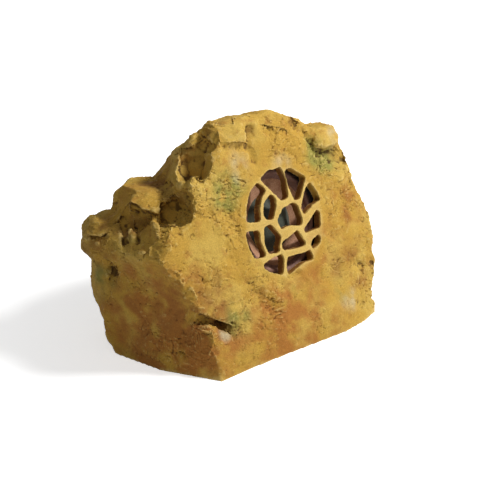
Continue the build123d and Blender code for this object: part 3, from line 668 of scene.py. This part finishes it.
FACETS: tuple[Facet, ...] = (
    # Crown: pit behind the left block and the stepped faces up to the peak
    Facet(((212, 123, -5), (221, 117, -6), (232, 118, -6), (233, 125, -5))),
    Facet(((233, 119, -3), (244, 114, -3), (256, 119, -1), (250, 127, 1), (243, 130, 1), (233, 125, -1))),
    Facet(((260, 124, -4), (278, 127, -4), (288, 131, -3), (281, 137, 0), (261, 135, 0))),
    Facet(((285, 112, 2), (297, 122, -5), (297, 129, -5), (289, 131, 1), (280, 119, 2))),
    Facet(((215, 125, -2), (233, 125, -2), (243, 130, 0), (247, 143, 3), (221, 142, 3), (216, 133, 0))),
    Facet((
        (261, 116, -1), (272, 108, -1), (285, 111, -1), (280, 119, 1), (289, 131, 3), (278, 127, 3),
        (260, 124, 2),
    )),
    # Bowl at the top of the left flank, with its lit rim
    Facet((
        (181, 149, -6), (192, 146, -6), (203, 140, -4), (209, 144, -6), (205, 162, -6), (204, 183, -6),
        (186, 183, -6), (179, 175, -6),
    )),
    Facet((
        (174, 150, 2), (180, 148, 2), (178, 175, 2), (185, 184, 2), (207, 184, 2), (207, 188, 2),
        (183, 189, 2), (174, 177, 2),
    )),
    # Right shoulder: the shaded notch under its slab
    Facet(((322, 151, -5), (345, 150, -5), (346, 162, -2), (325, 161, -2))),
    # Middle block of the left flank: shaded top, groove and rib under the flap, hollow beside it
    Facet(((137, 190, 1), (149, 179, -3), (164, 173, -5), (169, 179, 1))),
    Facet(((145, 191, 0), (169, 180, -4), (180, 194, -6), (161, 199, -3))),
    Facet((
        (128, 194, -2), (139, 193, -2), (149, 197, -1), (160, 196, 0), (159, 215, 5), (151, 212, 5),
        (141, 211, 5), (137, 205, 3), (129, 200, 2),
    )),
    Facet((
        (129, 201, -4), (137, 205, -5), (141, 211, -5), (151, 212, -5), (159, 215, -5), (155, 245, 0),
        (122, 249, 0), (120, 217, -4),
    )),
    Facet(((120, 216, -6), (125, 218, -5), (129, 231, -4), (125, 248, -3), (122, 245, -6))),
    Facet(((133, 220, -3), (136, 220, -5), (141, 243, -4), (138, 244, -3))),
    Facet(((150, 222, 4), (157, 218, 6), (160, 228, 6), (159, 241, 4), (154, 231, 5))),
    Facet(((160, 203, -6), (180, 202, -5), (191, 210, 0), (181, 231, 0), (160, 234, -6))),
    # Left knob with its ledge
    Facet(((82, 227, 0), (96, 227, 0), (108, 232, 4), (100, 236, 6), (81, 237, 6))),
    Facet(((82, 237, -5), (100, 236, -6), (108, 233, -5), (105, 242, 0), (86, 244, 0))),
    # Ridge and hole under it
    Facet(((121, 257, 0), (138, 249, 4), (147, 251, 6), (139, 261, 5), (125, 263, 3))),
    Facet(((108, 280, -4), (111, 269, -6), (119, 264, -6), (120, 272, -6), (115, 281, -4))),
)

# Where the skin is more broken than elsewhere, or smoother
BROKEN: tuple[Patch, ...] = (
    Patch((-52, -48, 195), 48, 0.8),
    Patch((-60, -58, 160), 40, 0.6),
    Patch((-115, -75, 110), 48, 0.5),
    Patch((-20, -88, 75), 55, 0.6),
    Patch((0, -25, 262), 70, -0.4),
    Patch((126, -38, 229), 34, -0.5),
    Patch((118, -46, 200), 30, 0.4),
    Patch((145, -66, 140), 30, 0.5),
    Patch((140, -98, 50), 30, 0.5),
    Patch((-95, -45, 200), 32, 0.2),
    Patch((-140, 10, 170), 60, -0.35),
    Patch((-72, -5, 225), 36, -0.5),
    Patch((-88, -22, 210), 34, -0.6),
    Patch((-95, -62, 150), 30, -0.5),
)

# Sponged patches of each wash, and of the painted shade
WASHES_AND_SHADE: dict[str, tuple[Patch, ...]] = {
    "wash_moss": (
        Patch((-45, -46, 203), 44, 0.7), Patch((-58, -48, 190), 34, 0.5), Patch((125, -45, 200), 44, 0.7),
        Patch((98, -38, 214), 34, 0.7), Patch((-78, -92, 60), 36, 0.8), Patch((95, -103, 48), 32, 0.6),
        Patch((-175, 45, 95), 50, 0.7), Patch((-158, 0, 148), 34, 0.6), Patch((15, -40, 232), 40, 0.35),
    ),
    "wash_chalk": (
        Patch((-28, -42, 220), 32, 0.6), Patch((45, -45, 210), 36, 0.45), Patch((-104, -96, 47), 18, 0.6),
        Patch((104, -109, 35), 32, 0.6), Patch((140, -40, 226), 26, 0.7), Patch((-27, -27, 258), 26, 0.5),
    ),
    "rust_wash_and_wall_shade": (
        Patch((140, -62, 140), 80, 0.5), Patch((150, -90, 60), 70, 0.4), Patch((-15, -92, 60), 70, 0.4),
        Patch((75, -80, 95), 70, 0.4), Patch((40, -110, 20), 100, 0.6), Patch((-40, -110, 15), 90, 0.5),
        Patch((-125, -85, 30), 80, 0.6), Patch((-150, -20, 60), 140, 0.95), Patch((-120, 40, 198), 50, 0.4),
        Patch((-75, 0, 225), 40, 0.3),
    ),
    # Painted shade over the shaded knob and flank, the crown's pit and hollows, and the low corners
    "umber_painted_shade": (
        Patch((-170, 55, 140), 60, 0.75), Patch((-148, 5, 165), 36, 0.8), Patch((-100, 30, 208), 45, 0.7),
        Patch((-105, -15, 190), 30, 0.6), Patch((-66, -8, 236), 26, 0.5), Patch((-55, -14, 262), 22, 0.5),
        Patch((-32, -14, 272), 16, 0.8), Patch((5, -26, 258), 14, 0.7), Patch((76, -26, 258), 20, 0.5),
        Patch((-155, -30, 60), 120, 0.35), Patch((-110, -85, 90), 70, 0.35), Patch((125, -90, 70), 90, 0.4),
        Patch((135, -60, 140), 60, 0.25),
    ),
}


@dataclass(frozen=True)
class Neighbours:
    """Which points of a mesh are joined by its edges."""

    first: np.ndarray
    second: np.ndarray
    degree: np.ndarray

    @classmethod
    def of(cls, piece: bpy.types.Object) -> "Neighbours":
        """Read the edges of a piece."""
        ends = np.empty(len(piece.data.edges) * 2, dtype=np.int64)
        piece.data.edges.foreach_get("vertices", ends)
        degree = np.maximum(np.bincount(ends, minlength=len(piece.data.vertices)), 1)
        return cls(*ends.reshape(-1, 2).T, degree)

    def near(self, marked: np.ndarray) -> "Neighbours":
        """Keep only the edges that touch marked points."""
        kept = marked[self.first] | marked[self.second]
        return Neighbours(self.first[kept], self.second[kept], self.degree)

    def blend(self, column: np.ndarray, share: float) -> np.ndarray:
        """Mix each point's value with the average of its neighbours.

        Args:
            column: One value for each point.
            share: Part taken from the neighbours.

        Returns:
            The mixed values.
        """
        count = len(column)
        total = np.bincount(self.first, column[self.second], count)
        total += np.bincount(self.second, column[self.first], count)
        return column * (1 - share) + total / self.degree * share


@dataclass
class Boulder:
    """The hollow cast stone, modelled over its solid as broken and trowelled rock."""

    voxel: float = 1.35 * MM
    foot: float = 10.0
    gland_place: tuple[float, float] = (-45.0, 44.0)
    gland_clear: float = 20.0
    grille_radius: float = 70.0
    bar_cut: float = 1.0
    triangles: int = 190000
    sink: float = 6.5
    least_wall: float = 4.5
    fin_rounds: int = 40
    inlet_back: float = 60.0
    grille_depth: float = 30.0
    bar_depth: float = 20.0
    # Height and width of the humps, even ones and broken ones
    humps: tuple[float, float] = (1.6, 40.0)
    bruises: tuple[float, float] = (3.0, 22.0)
    # Width of the flattened flakes, how flat they are and how unbroken they may be
    flakes: tuple[Point, ...] = ((13.0, 0.9, 0.3), (6.5, 0.75, 0.0))
    # Width and height of the ledges
    ledges: tuple[tuple[float, float], ...] = ((24.0, 1.8), (11.0, 1.1))
    # Width and tilt of the chips and the depth of the cracks round them
    chips: tuple[Point, ...] = ((15.0, 1.0, 1.3), (7.0, 0.8, 0.8), (4.0, 0.5, 0.0))
    forms: Grain = field(default_factory=lambda: Grain(11))
    breaks: Grain = field(default_factory=lambda: Grain(23))

    def build(self) -> bpy.types.Object:
        """Model the stone and dress it.

        Returns:
            The finished piece.
        """
        stone = merged_copy("rock_shell", "broken_stone")
        tree, outer = self.outer_faces(stone)
        finish_with(stone, "REMESH", mode="VOXEL", voxel_size=self.voxel, use_smooth_shade=True)
        skin = self.skin(stone, tree, outer)
        for _ in range(2):
            self.trim_fins(stone, skin)
        # Remeshing again leaves out what is left of the fins
        finish_with(stone, "REMESH", mode="VOXEL", voxel_size=self.voxel, use_smooth_shade=True)
        self.drop_crumbs(stone)
        skin = self.skin(stone, tree, outer)
        self.model(stone, skin)
        self.thin(stone, skin)
        self.tint(stone)
        COATS["stone_resin"].dress(stone)
        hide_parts("rock_shell")
        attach(stone, "cabinet")
        return stone

    def outer_faces(self, stone: bpy.types.Object) -> tuple[BVHTree, np.ndarray]:
        """Find the faces of the solid that can be seen from outside.

        Args:
            stone: Copy of the solid.

        Returns:
            Search tree of the faces, and one or zero for each of them.
        """
        mesh = stone.data
        tree = BVHTree.FromPolygons([v.co for v in mesh.vertices], [p.vertices for p in mesh.polygons])
        looks = []
        for step in range(40):
            height = 1 - 1.05 * (step + 0.5) / 40
            turn = step * 2.399963
            flat = math.sqrt(1 - height * height)
            looks.append(Vector((flat * math.cos(turn), flat * math.sin(turn), height)))
        outer = np.zeros(len(mesh.polygons))
        for index, face in enumerate(mesh.polygons):
            start = face.center + face.normal * 0.05 * MM
            facing = [look for look in looks if look.dot(face.normal) > 0.05]
            clear = sum(tree.ray_cast(start, look)[0] is None for look in facing)
            outer[index] = bool(facing) and clear > 0.22 * len(facing)
        return tree, outer

    def skin(self, stone: bpy.types.Object, tree: BVHTree, outer: np.ndarray) -> np.ndarray:
        """Tell which points of the stone lie on its outside.

        Args:
            stone: Remeshed stone.
            tree: Search tree of the solid's faces.
            outer: One or zero for each of those faces.

        Returns:
            One for points of the outside, zero inside.
        """
        return np.array([outer[tree.find_nearest(Vector(point))[2]] for point in self.points(stone)])

    @staticmethod
    def points(stone: bpy.types.Object) -> np.ndarray:
        """Points of the stone in metres, one row each."""
        flat = np.empty(len(stone.data.vertices) * 3)
        stone.data.vertices.foreach_get("co", flat)
        return flat.reshape(-1, 3)

    @staticmethod
    def normals(stone: bpy.types.Object) -> np.ndarray:
        """Outward directions at the stone's points."""
        flat = np.empty(len(stone.data.vertices) * 3)
        stone.data.vertex_normals.foreach_get("vector", flat)
        return flat.reshape(-1, 3)

    @staticmethod
    def spread(stone: bpy.types.Object, values: np.ndarray, rounds: int, share: float = 0.5) -> np.ndarray:
        """Average values over neighbouring points.

        Args:
            stone: Mesh whose edges join the points.
            values: One row for each point.
            rounds: Times to average.
            share: Part taken from the neighbours each time.

        Returns:
            The averaged values.
        """
        joined = Neighbours.of(stone)
        columns = []
        for column in np.atleast_2d(values.T):
            for _ in range(rounds):
                column = joined.blend(column, share)
            columns.append(column)
        return np.array(columns).T if values.ndim > 1 else columns[0]

    def put(self, stone: bpy.types.Object, points: np.ndarray) -> None:
        """Write points in millimetres back to the stone, kept inside the solid's box."""
        low, high = (np.array(corner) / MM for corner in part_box("rock_shell"))
        kept = np.clip(points, low, high)
        stone.data.vertices.foreach_set("co", (kept * MM).ravel())
        stone.data.update()

    def model(self, stone: bpy.types.Object, skin: np.ndarray) -> None:
        """Soften the solid's facets, then break the stone with strokes, chips and grit.

        Args:
            stone: Remeshed stone.
            skin: One for points of the outside, zero inside.
        """
        points = self.points(stone) / MM
        free, grille = self.freedom(stone, skin)
        loose = free * (1 - grille)
        rest = points.copy()
        soft = self.spread(stone, points, 1)
        points += (soft - points) * (free * (1 - 0.6 * grille))[:, None]
        points = self.pare_bars(stone, points)
        points = self.work_strokes(stone, points, free)
        points = self.lift_facets(stone, points, loose)
        broken = self.brokenness(points)
        rough = self.humps[0] * self.forms.layers(points, self.humps[1], 2)
        rough += broken * self.bruises[0] * self.breaks.layers(points, self.bruises[1], 3)
        points += self.outward(stone, 4) * (rough * loose)[:, None]
        for size, flat, whole in self.flakes:
            points = self.flatten(stone, points, flat * loose * np.minimum(broken + whole, 1), size)
        broken = broken * (1 - 0.6 * grille)
        points = self.break_skin(stone, points, broken * free)
        moved = points - rest
        length = np.maximum(np.linalg.norm(moved, axis=1), 1e-6)
        points = rest + moved * np.minimum(1, self.sink / length)[:, None]
        self.put(stone, self.trim_spikes(stone, points, loose))

    def freedom(self, stone: bpy.types.Object, skin: np.ndarray) -> tuple[np.ndarray, np.ndarray]:
        """Find what may be modelled: not the foot, the cable inlet or the inside.

        Args:
            stone: Remeshed stone.
            skin: One for points of the outside, zero inside.

        Returns:
            How freely each point may move, and how far it belongs to the pierced front.
        """
        points = self.points(stone) / MM
        foot = smoothstep(points[:, 2], 1.0, self.foot)
        gland_gap = np.hypot(points[:, 0] - self.gland_place[0], points[:, 2] - self.gland_place[1])
        clear = smoothstep(gland_gap, self.gland_clear, self.gland_clear + 9)
        gland = np.where(points[:, 1] > self.inlet_back, clear, 1.0)
        grille = 1 - smoothstep(SEAT.radius_of(points), self.grille_radius, self.grille_radius + 10)
        grille *= SEAT.height_of(points) > -self.grille_depth
        return self.spread(stone, skin, 3) * foot * gland, grille

    def pare_bars(self, stone: bpy.types.Object, points: np.ndarray) -> np.ndarray:
        """Thin the bars of the pierced front, which the solid keeps sturdy.

        Args:
            stone: Stone that is modelled.
            points: Its points in millimetres.

        Returns:
            The moved points.
        """
        out = np.array(SEAT.matrix.to_3x3().col[2])
        normals = self.outward(stone, 2)
        sideways = normals - (normals @ out)[:, None] * out
        walls = smoothstep(np.linalg.norm(sideways, axis=1), 0.3, 0.8)
        walls *= np.abs(SEAT.height_of(points) + 6) < 7
        inner = 1 - smoothstep(SEAT.radius_of(points), self.grille_radius - 3, self.grille_radius + 3)
        points -= sideways * (self.bar_cut * walls * inner)[:, None]
        self.put(stone, points)
        return points

    def trim_fins(self, stone: bpy.types.Object, skin: np.ndarray) -> None:
        """Draw fins that are too thin to cast back into the stone.

        Args:
            stone: Remeshed stone.
            skin: One for points of the outside, zero inside.
        """
        points = self.points(stone) / MM
        free, grille = self.freedom(stone, skin)
        free = free * (1 - grille)
        faces = [face.vertices[:] for face in stone.data.polygons]
        tree = BVHTree.FromPolygons(points.tolist(), faces)
        inward = -self.outward(stone, 2)
        thin = np.zeros(len(points))
        for index in np.flatnonzero(free > 0.5):
            start = Vector(points[index] + inward[index] * 0.5)
            thin[index] = tree.ray_cast(start, Vector(inward[index]), self.least_wall)[0] is not None
        share = smoothstep(self.spread(stone, thin, 4), 0.1, 0.5) * free
        joined = Neighbours.of(stone).near(share > 0)
        for _ in range(self.fin_rounds):
            soft = np.stack([joined.blend(column, 0.9) for column in points.T], axis=1)
            points = points + (soft - points) * share[:, None]
        self.put(stone, points)

    def trim_spikes(self, stone: bpy.types.Object, points: np.ndarray, free: np.ndarray) -> np.ndarray:
        """Draw single spikes back into the stone.

        Args:
            stone: Stone that is modelled.
            points: Its points in millimetres.
            free: How freely each point may move.

        Returns:
            The moved points.
        """
        for _ in range(3):
            soft = self.spread(stone, points, 10)
            thin = smoothstep(np.linalg.norm(points - soft, axis=1), 2.2, 3.4)
            points = points + (soft - points) * (thin * np.minimum(free * 2, 1))[:, None]
        return points

    @staticmethod
    def brokenness(points: np.ndarray) -> np.ndarray:
        """How broken the stone's skin is at points in millimetres, from about zero to one."""
        broken = 0.58 + 0.4 * Grain(11).waves(points + 400, 44)
        for patch in BROKEN:
            broken = broken + patch.share(points)
        return np.clip(broken, 0.12, 1.1)

    def outward(self, stone: bpy.types.Object, rounds: int) -> np.ndarray:
        """Directions out of the stone, averaged over neighbouring points."""
        normals = self.spread(stone, self.normals(stone), rounds)
        return normals / np.maximum(np.linalg.norm(normals, axis=1), 1e-6)[:, None]

    def sway(self, grain: Grain, points: np.ndarray, size: float) -> np.ndarray:
        """Noise with its own value along each axis, to make straight lines wander."""
        return np.stack([grain.waves(points + 90 * axis, size) for axis in range(3)], axis=1)

    def work_strokes(self, stone: bpy.types.Object, points: np.ndarray, free: np.ndarray) -> np.ndarray:
        """Raise the ribs and cut the hollows along the listed strokes.

        Args:
            stone: Stone that is modelled.
            points: Its points in millimetres.
            free: How freely each point may move.

        Returns:
            The moved points.
        """
        normals = self.outward(stone, 12)
        swayed = points + 2.5 * self.sway(self.forms, points, 15)
        for stroke in STROKES:
            share = stroke.share(swayed) * free
            near = share > 0
            if not near.any():
                continue
            out = (normals[near] * share[near, None]).sum(axis=0)
            out /= np.linalg.norm(out)
            points[near] += out * (share[near] * stroke.depth * stroke.work.value)[:, None]
        self.put(stone, points)
        return points

    def lift_facets(self, stone: bpy.types.Object, points: np.ndarray, free: np.ndarray) -> np.ndarray:
        """Tilt and step the flat faces that the photograph shows.

        Args:
            stone: Stone that is modelled.
            points: Its points in millimetres.
            free: How freely each point may move.

        Returns:
            The moved points.
        """
        towards = np.array(VIEW.eye) / MM - points
        towards /= np.linalg.norm(towards, axis=1)[:, None]
        facing = smoothstep(np.einsum("ij,ij->i", self.outward(stone, 6), towards), 0.0, 0.2)
        wander = 1.4 * self.sway(self.forms, points, 12) + 0.5 * self.sway(self.forms, points, 4.5)
        pixels = VIEW.pixels(points + wander)
        lift = sum(facet.lift(pixels) for facet in FACETS)
        points += towards * (lift * facing * free)[:, None]
        self.put(stone, points)
        return points

    def flatten(
        self, stone: bpy.types.Object, points: np.ndarray, share: np.ndarray, size: float,
    ) -> np.ndarray:
        """Press each chip of the stone towards a plane of its own.

        Args:
            stone: Stone that is modelled.
            points: Its points in millimetres.
            share: How far each point goes to the plane, from zero to one.
            size: Width of a chip in millimetres.

        Returns:
            The moved points.
        """
        self.put(stone, points)
        live = np.flatnonzero(share > 0.001)
        spots = points[live]
        normals = self.outward(stone, 2)[live]
        bent = spots + 0.25 * size * self.sway(self.forms, spots + size, size * 0.7)
        marks = self.breaks.chips(bent, size)[2]
        chip = np.unique(marks[:, 0], return_inverse=True)[1]
        count = np.bincount(chip)
        middle = np.stack([np.bincount(chip, column) / count for column in spots.T], axis=1)
        out = np.stack([np.bincount(chip, column) for column in normals.T], axis=1)
        out /= np.maximum(np.linalg.norm(out, axis=1), 1e-6)[:, None]
        height = np.clip(np.einsum("ij,ij->i", spots - middle[chip], out[chip]), -5, 5)
        points[live] = spots - out[chip] * (height * share[live])[:, None]
        return points

    def break_skin(self, stone: bpy.types.Object, points: np.ndarray, broken: np.ndarray) -> np.ndarray:
        """Cover the stone with flaked steps, chips, cracks and grit.

        Args:
            stone: Stone that is modelled.
            points: Its points in millimetres.
            broken: How strongly each point is broken.

        Returns:
            The moved points.
        """
        self.put(stone, points)
        live = np.flatnonzero(broken > 0.001)
        spots = points[live]
        normals = self.outward(stone, 3)[live]
        relief = 0.2 * self.breaks.waves(spots, 2.8)
        stretched = spots * np.array((0.6, 0.7, 1.0)) + 5.0 * self.sway(self.breaks, spots, 26)
        for size, height in self.ledges:
            steps = 2.0 * self.breaks.layers(stretched + 50, size, 3)
            whole = np.floor(steps)
            ledges = smoothstep(self.breaks.waves(spots + 300 + size, size * 2), -0.35, 0.15)
            relief += height * ledges * (whole + smoothstep(steps - whole, 0.8, 1.0) - steps * 0.85)
        for size, tilt, crack in self.chips:
            bent = stretched + 0.2 * size * self.sway(self.breaks, stretched + 20, size * 0.8)
            border, offset, marks = self.breaks.chips(bent, size)
            running = smoothstep(self.breaks.waves(spots + 900 + size, size * 2), 0.0, 0.3)
            relief += tilt * np.einsum("ij,ij->i", offset, marks[:, :3] * 2 - 1)
            relief -= crack * running * (1 - smoothstep(border, 0.0, 1.2 / size))
        points[live] = spots + normals * (relief * broken[live])[:, None]
        return points

    def thin(self, stone: bpy.types.Object, skin: np.ndarray) -> None:
        """Take needless faces out of the hidden inside and the far side.

        Args:
            stone: Modelled stone.
            skin: One for points of the outside, zero inside.
        """
        mesh = stone.data
        inside = self.spread(stone, skin, 3) < 0.02
        points = self.points(stone) / MM
        back = ~inside & (points @ np.array((-0.653, -0.676, 0.0)) < -20) & (points[:, 2] < 225)
        marks = mesh.attributes.new("zone", "INT", "POINT")
        marks.data.foreach_set("value", (inside * 1 + back * 2).astype(np.int32))
        for zone, ratio in ((1, 0.03), (2, 0.35)):
            self.decimate_zone(stone, zone, ratio)
        mesh.attributes.remove(mesh.attributes["zone"])
        mesh.calc_loop_triangles()
        count = len(mesh.loop_triangles)
        if count > self.triangles:
            finish_with(stone, "DECIMATE", ratio=self.triangles / count)
        self.put(stone, self.points(stone) / MM)
        self.drop_crumbs(stone)
        choose(stone)
        bpy.ops.object.shade_smooth_by_angle(angle=math.radians(32))

    @staticmethod
    def drop_crumbs(stone: bpy.types.Object) -> None:
        """Take away crumbs that have come loose from the stone."""
        known = set(bpy.data.objects)
        choose(stone)
        bpy.ops.mesh.separate(type="LOOSE")
        crumbs = [piece for piece in bpy.data.objects if piece not in known]
        for crumb in crumbs:
            if len(crumb.data.vertices) > len(stone.data.vertices):
                crumb.data, stone.data = stone.data, crumb.data
        LOG.info("%d crumbs taken away", len(crumbs))
        for crumb in crumbs:
            bpy.data.objects.remove(crumb)

    @staticmethod
    def decimate_zone(stone: bpy.types.Object, zone: int, ratio: float) -> None:
        """Thin the faces whose points all lie in one zone.

        Args:
            stone: Mesh with a zone number at each point.
            zone: Number of the zone.
            ratio: Share of its faces to keep.
        """
        mesh = stone.data
        marks = np.empty(len(mesh.vertices), dtype=np.int32)
        mesh.attributes["zone"].data.foreach_get("value", marks)
        choose(stone)
        bpy.ops.object.mode_set(mode="EDIT")
        bpy.ops.mesh.select_mode(type="FACE")
        bpy.ops.mesh.select_all(action="DESELECT")
        bpy.ops.object.mode_set(mode="OBJECT")
        corners = np.empty(len(mesh.loops), dtype=np.int64)
        mesh.loops.foreach_get("vertex_index", corners)
        starts = np.empty(len(mesh.polygons), dtype=np.int64)
        mesh.polygons.foreach_get("loop_start", starts)
        picked = np.minimum.reduceat((marks == zone)[corners].astype(np.int8), starts).astype(bool)
        mesh.polygons.foreach_set("select", picked)
        bpy.ops.object.mode_set(mode="EDIT")
        bpy.ops.mesh.decimate(ratio=ratio)
        bpy.ops.object.mode_set(mode="OBJECT")

    def tint(self, stone: bpy.types.Object) -> None:
        """Store the sponged washes, the painted shade, the hollows and the crests at the stone's points."""
        points = self.points(stone) / MM
        normals = self.normals(stone)
        close = np.einsum("ij,ij->i", self.spread(stone, points, 4) - points, normals)
        wide = np.einsum("ij,ij->i", self.spread(stone, points, 40) - points, normals)
        # Dark wash and painted shade in the creases and hollows; pale crests
        hollow = smoothstep(close, 0.12, 0.8) * 0.7 + smoothstep(wide, 0.8, 4.0) * 0.6
        crest = smoothstep(-close, 0.12, 0.7) * 0.6 + smoothstep(-wide, 0.8, 4.0) * 0.5
        depth = -SEAT.height_of(points)
        pierced = 1 - smoothstep(SEAT.radius_of(points), self.grille_radius - 9, self.grille_radius)
        pierced *= depth < self.bar_depth
        walls = smoothstep(depth, 1.2, 4.0)
        # Painted shade on the walls of the pierced front; pale faces on its bars
        hollow = hollow * (1 - pierced) + 0.6 * pierced * walls
        crest = crest + 0.55 * pierced * (1 - walls)
        ragged = self.forms.layers(points + 700, 22, 3)
        values = {"hollow": np.clip(hollow, 0, 1), "crest": np.clip(crest, 0, 1)}
        for name, patches in WASHES_AND_SHADE.items():
            total = sum(patch.share(points) for patch in patches)
            values[name] = np.clip(total * (1 + 1.1 * ragged) - 0.1, 0, 1)
        # Rust brown laid as painted shade on the walls of the pierced front
        values["rust_wash_and_wall_shade"] = np.maximum(values["rust_wash_and_wall_shade"], 0.9 * pierced * walls)
        for name, amounts in values.items():
            store = stone.data.attributes.new(name, "FLOAT", "POINT")
            store.data.foreach_set("value", amounts.astype(np.float32))


@dataclass(frozen=True)
class FlexPiece:
    """A soft piece from the still frame to the moving cone, which bends across the joint."""

    node: str
    slot: str
    still: float
    moving: float

    def build(self) -> bpy.types.Object:
        """Copy the solid and dress it.

        Returns:
            The finished piece.
        """
        piece = merged_copy(self.node, "soft_" + self.node)
        bpy.ops.object.shade_smooth_by_angle(angle=math.radians(40))
        COATS[self.slot].dress(piece)
        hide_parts(self.node)
        shape = np.empty(len(piece.data.vertices) * 3)
        piece.data.vertices.foreach_get("co", shape)
        radius = np.zeros((len(piece.data.vertices), 3))
        radius[:, 0] = SEAT.radius_of(shape.reshape(-1, 3) / MM) * MM
        piece.data.vertices.foreach_set("co", radius.ravel())
        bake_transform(piece)
        piece.data.vertices.foreach_set("co", shape)
        piece.data.update()
        return piece


SOFT_PIECES: tuple[FlexPiece, ...] = (
    FlexPiece("surround", "edge_rubber", still=65.7, moving=57.5),
    FlexPiece("spider", "spider_cloth", still=38.0, moving=15.0),
    FlexPiece("flex_leads", "copper_wire", still=54.0, moving=39.0),
)


@dataclass
class Studio:
    """Camera, soft lamps and the pale floor."""

    lamp_distance: float = 1.6

    def build(self) -> None:
        """Set up the camera, lamps, floor and world."""
        self.camera()
        self.lamp("key_lamp", azimuth=40, elevation=47, energy=26.0, size=0.35)
        self.lamp("fill_lamp", azimuth=-50, elevation=40, energy=1.5, size=1.2)
        self.floor()
        self.world()
        bpy.context.scene.view_settings.view_transform = "Standard"

    def camera(self) -> None:
        """Place the camera at the photograph's angle."""
        data = bpy.data.cameras.new("view")
        data.lens = VIEW.lens
        data.sensor_width = VIEW.sensor
        eye = bpy.data.objects.new("view", data)
        bpy.context.scene.collection.objects.link(eye)
        eye.location = VIEW.eye
        eye.rotation_euler = VIEW.back.to_track_quat("Z", "Y").to_euler()
        bpy.context.scene.camera = eye

    def lamp(self, name: str, azimuth: float, elevation: float, energy: float, size: float) -> None:
        """Hang one soft square lamp.

        Args:
            name: Name of the lamp.
            azimuth: Its side, in degrees from the front.
            elevation: Its height, in degrees.
            energy: Power in watts.
            size: Side of the lamp in metres.
        """
        data = bpy.data.lights.new(name, "AREA")
        data.energy = energy
        data.size = size
        lamp = bpy.data.objects.new(name, data)
        bpy.context.scene.collection.objects.link(lamp)
        out = VIEW.ray(azimuth, elevation)
        lamp.location = Vector(VIEW.target) + out * self.lamp_distance
        lamp.rotation_euler = out.to_track_quat("Z", "Y").to_euler()

    @staticmethod
    def floor() -> None:
        """Lay the pale floor, which shows white to the camera and keeps the shadow."""
        bpy.ops.object.select_all(action="DESELECT")
        bpy.ops.mesh.primitive_plane_add(size=12.0, location=(0, 0, 0))
        floor = bpy.context.object
        floor.name = "floor"
        material = bpy.data.materials.new("pale_floor")
        material.use_nodes = True
        tree = material.node_tree
        shader = tree.nodes["Principled BSDF"]
        shader.inputs["Base Color"].default_value = (0.86, 0.86, 0.86, 1.0)
        shader.inputs["Roughness"].default_value = 0.9
        place = add(tree, "ShaderNodeTexCoord").outputs["Object"]
        away = add(tree, "ShaderNodeVectorMath", {0: place}, operation="LENGTH")
        glow = add(tree, "ShaderNodeMapRange", {
            "Value": away.outputs["Value"], "From Min": 0.2, "From Max": 0.75, "To Min": 0.6, "To Max": 1.0,
        }, interpolation_type="SMOOTHSTEP")
        seen = seen_directly(tree)
        lift = add(tree, "ShaderNodeMath", {0: seen, 1: glow.outputs[0]}, operation="MULTIPLY")
        shader.inputs["Emission Color"].default_value = (1.0, 1.0, 1.0, 1.0)
        tree.links.new(lift.outputs[0], shader.inputs["Emission Strength"])
        floor.data.materials.append(material)

    @staticmethod
    def world() -> None:
        """Give an even soft surround that shows white to the camera."""
        world = bpy.context.scene.world or bpy.data.worlds.new("studio")
        bpy.context.scene.world = world
        world.use_nodes = True
        tree = world.node_tree
        back = tree.nodes["Background"]
        back.inputs["Color"].default_value = (1.0, 1.0, 1.0, 1.0)
        level = add(tree, "ShaderNodeMapRange", {"Value": seen_directly(tree), "To Min": 0.16, "To Max": 1.0})
        tree.links.new(level.outputs[0], back.inputs["Strength"])


def dress_solids() -> None:
    """Put each carried-over solid's coat on it, by its slot in the record."""
    for row in frame["record"]["subparts"]:
        COATS[row["material_slot"]].dress(frame["nodes"][row["node"]])


def main() -> None:
    """Build the dressed model in order."""
    logging.basicConfig(level=logging.INFO, format="%(name)s: %(message)s")
    Studio().build()
    dress_solids()
    pieces = [Boulder().build()]
    pieces += [soft.build() for soft in SOFT_PIECES]
    for piece in pieces:
        LOG.info("%s: %d faces", piece.name, len(piece.data.polygons))


if __name__ == "__main__":
    main()
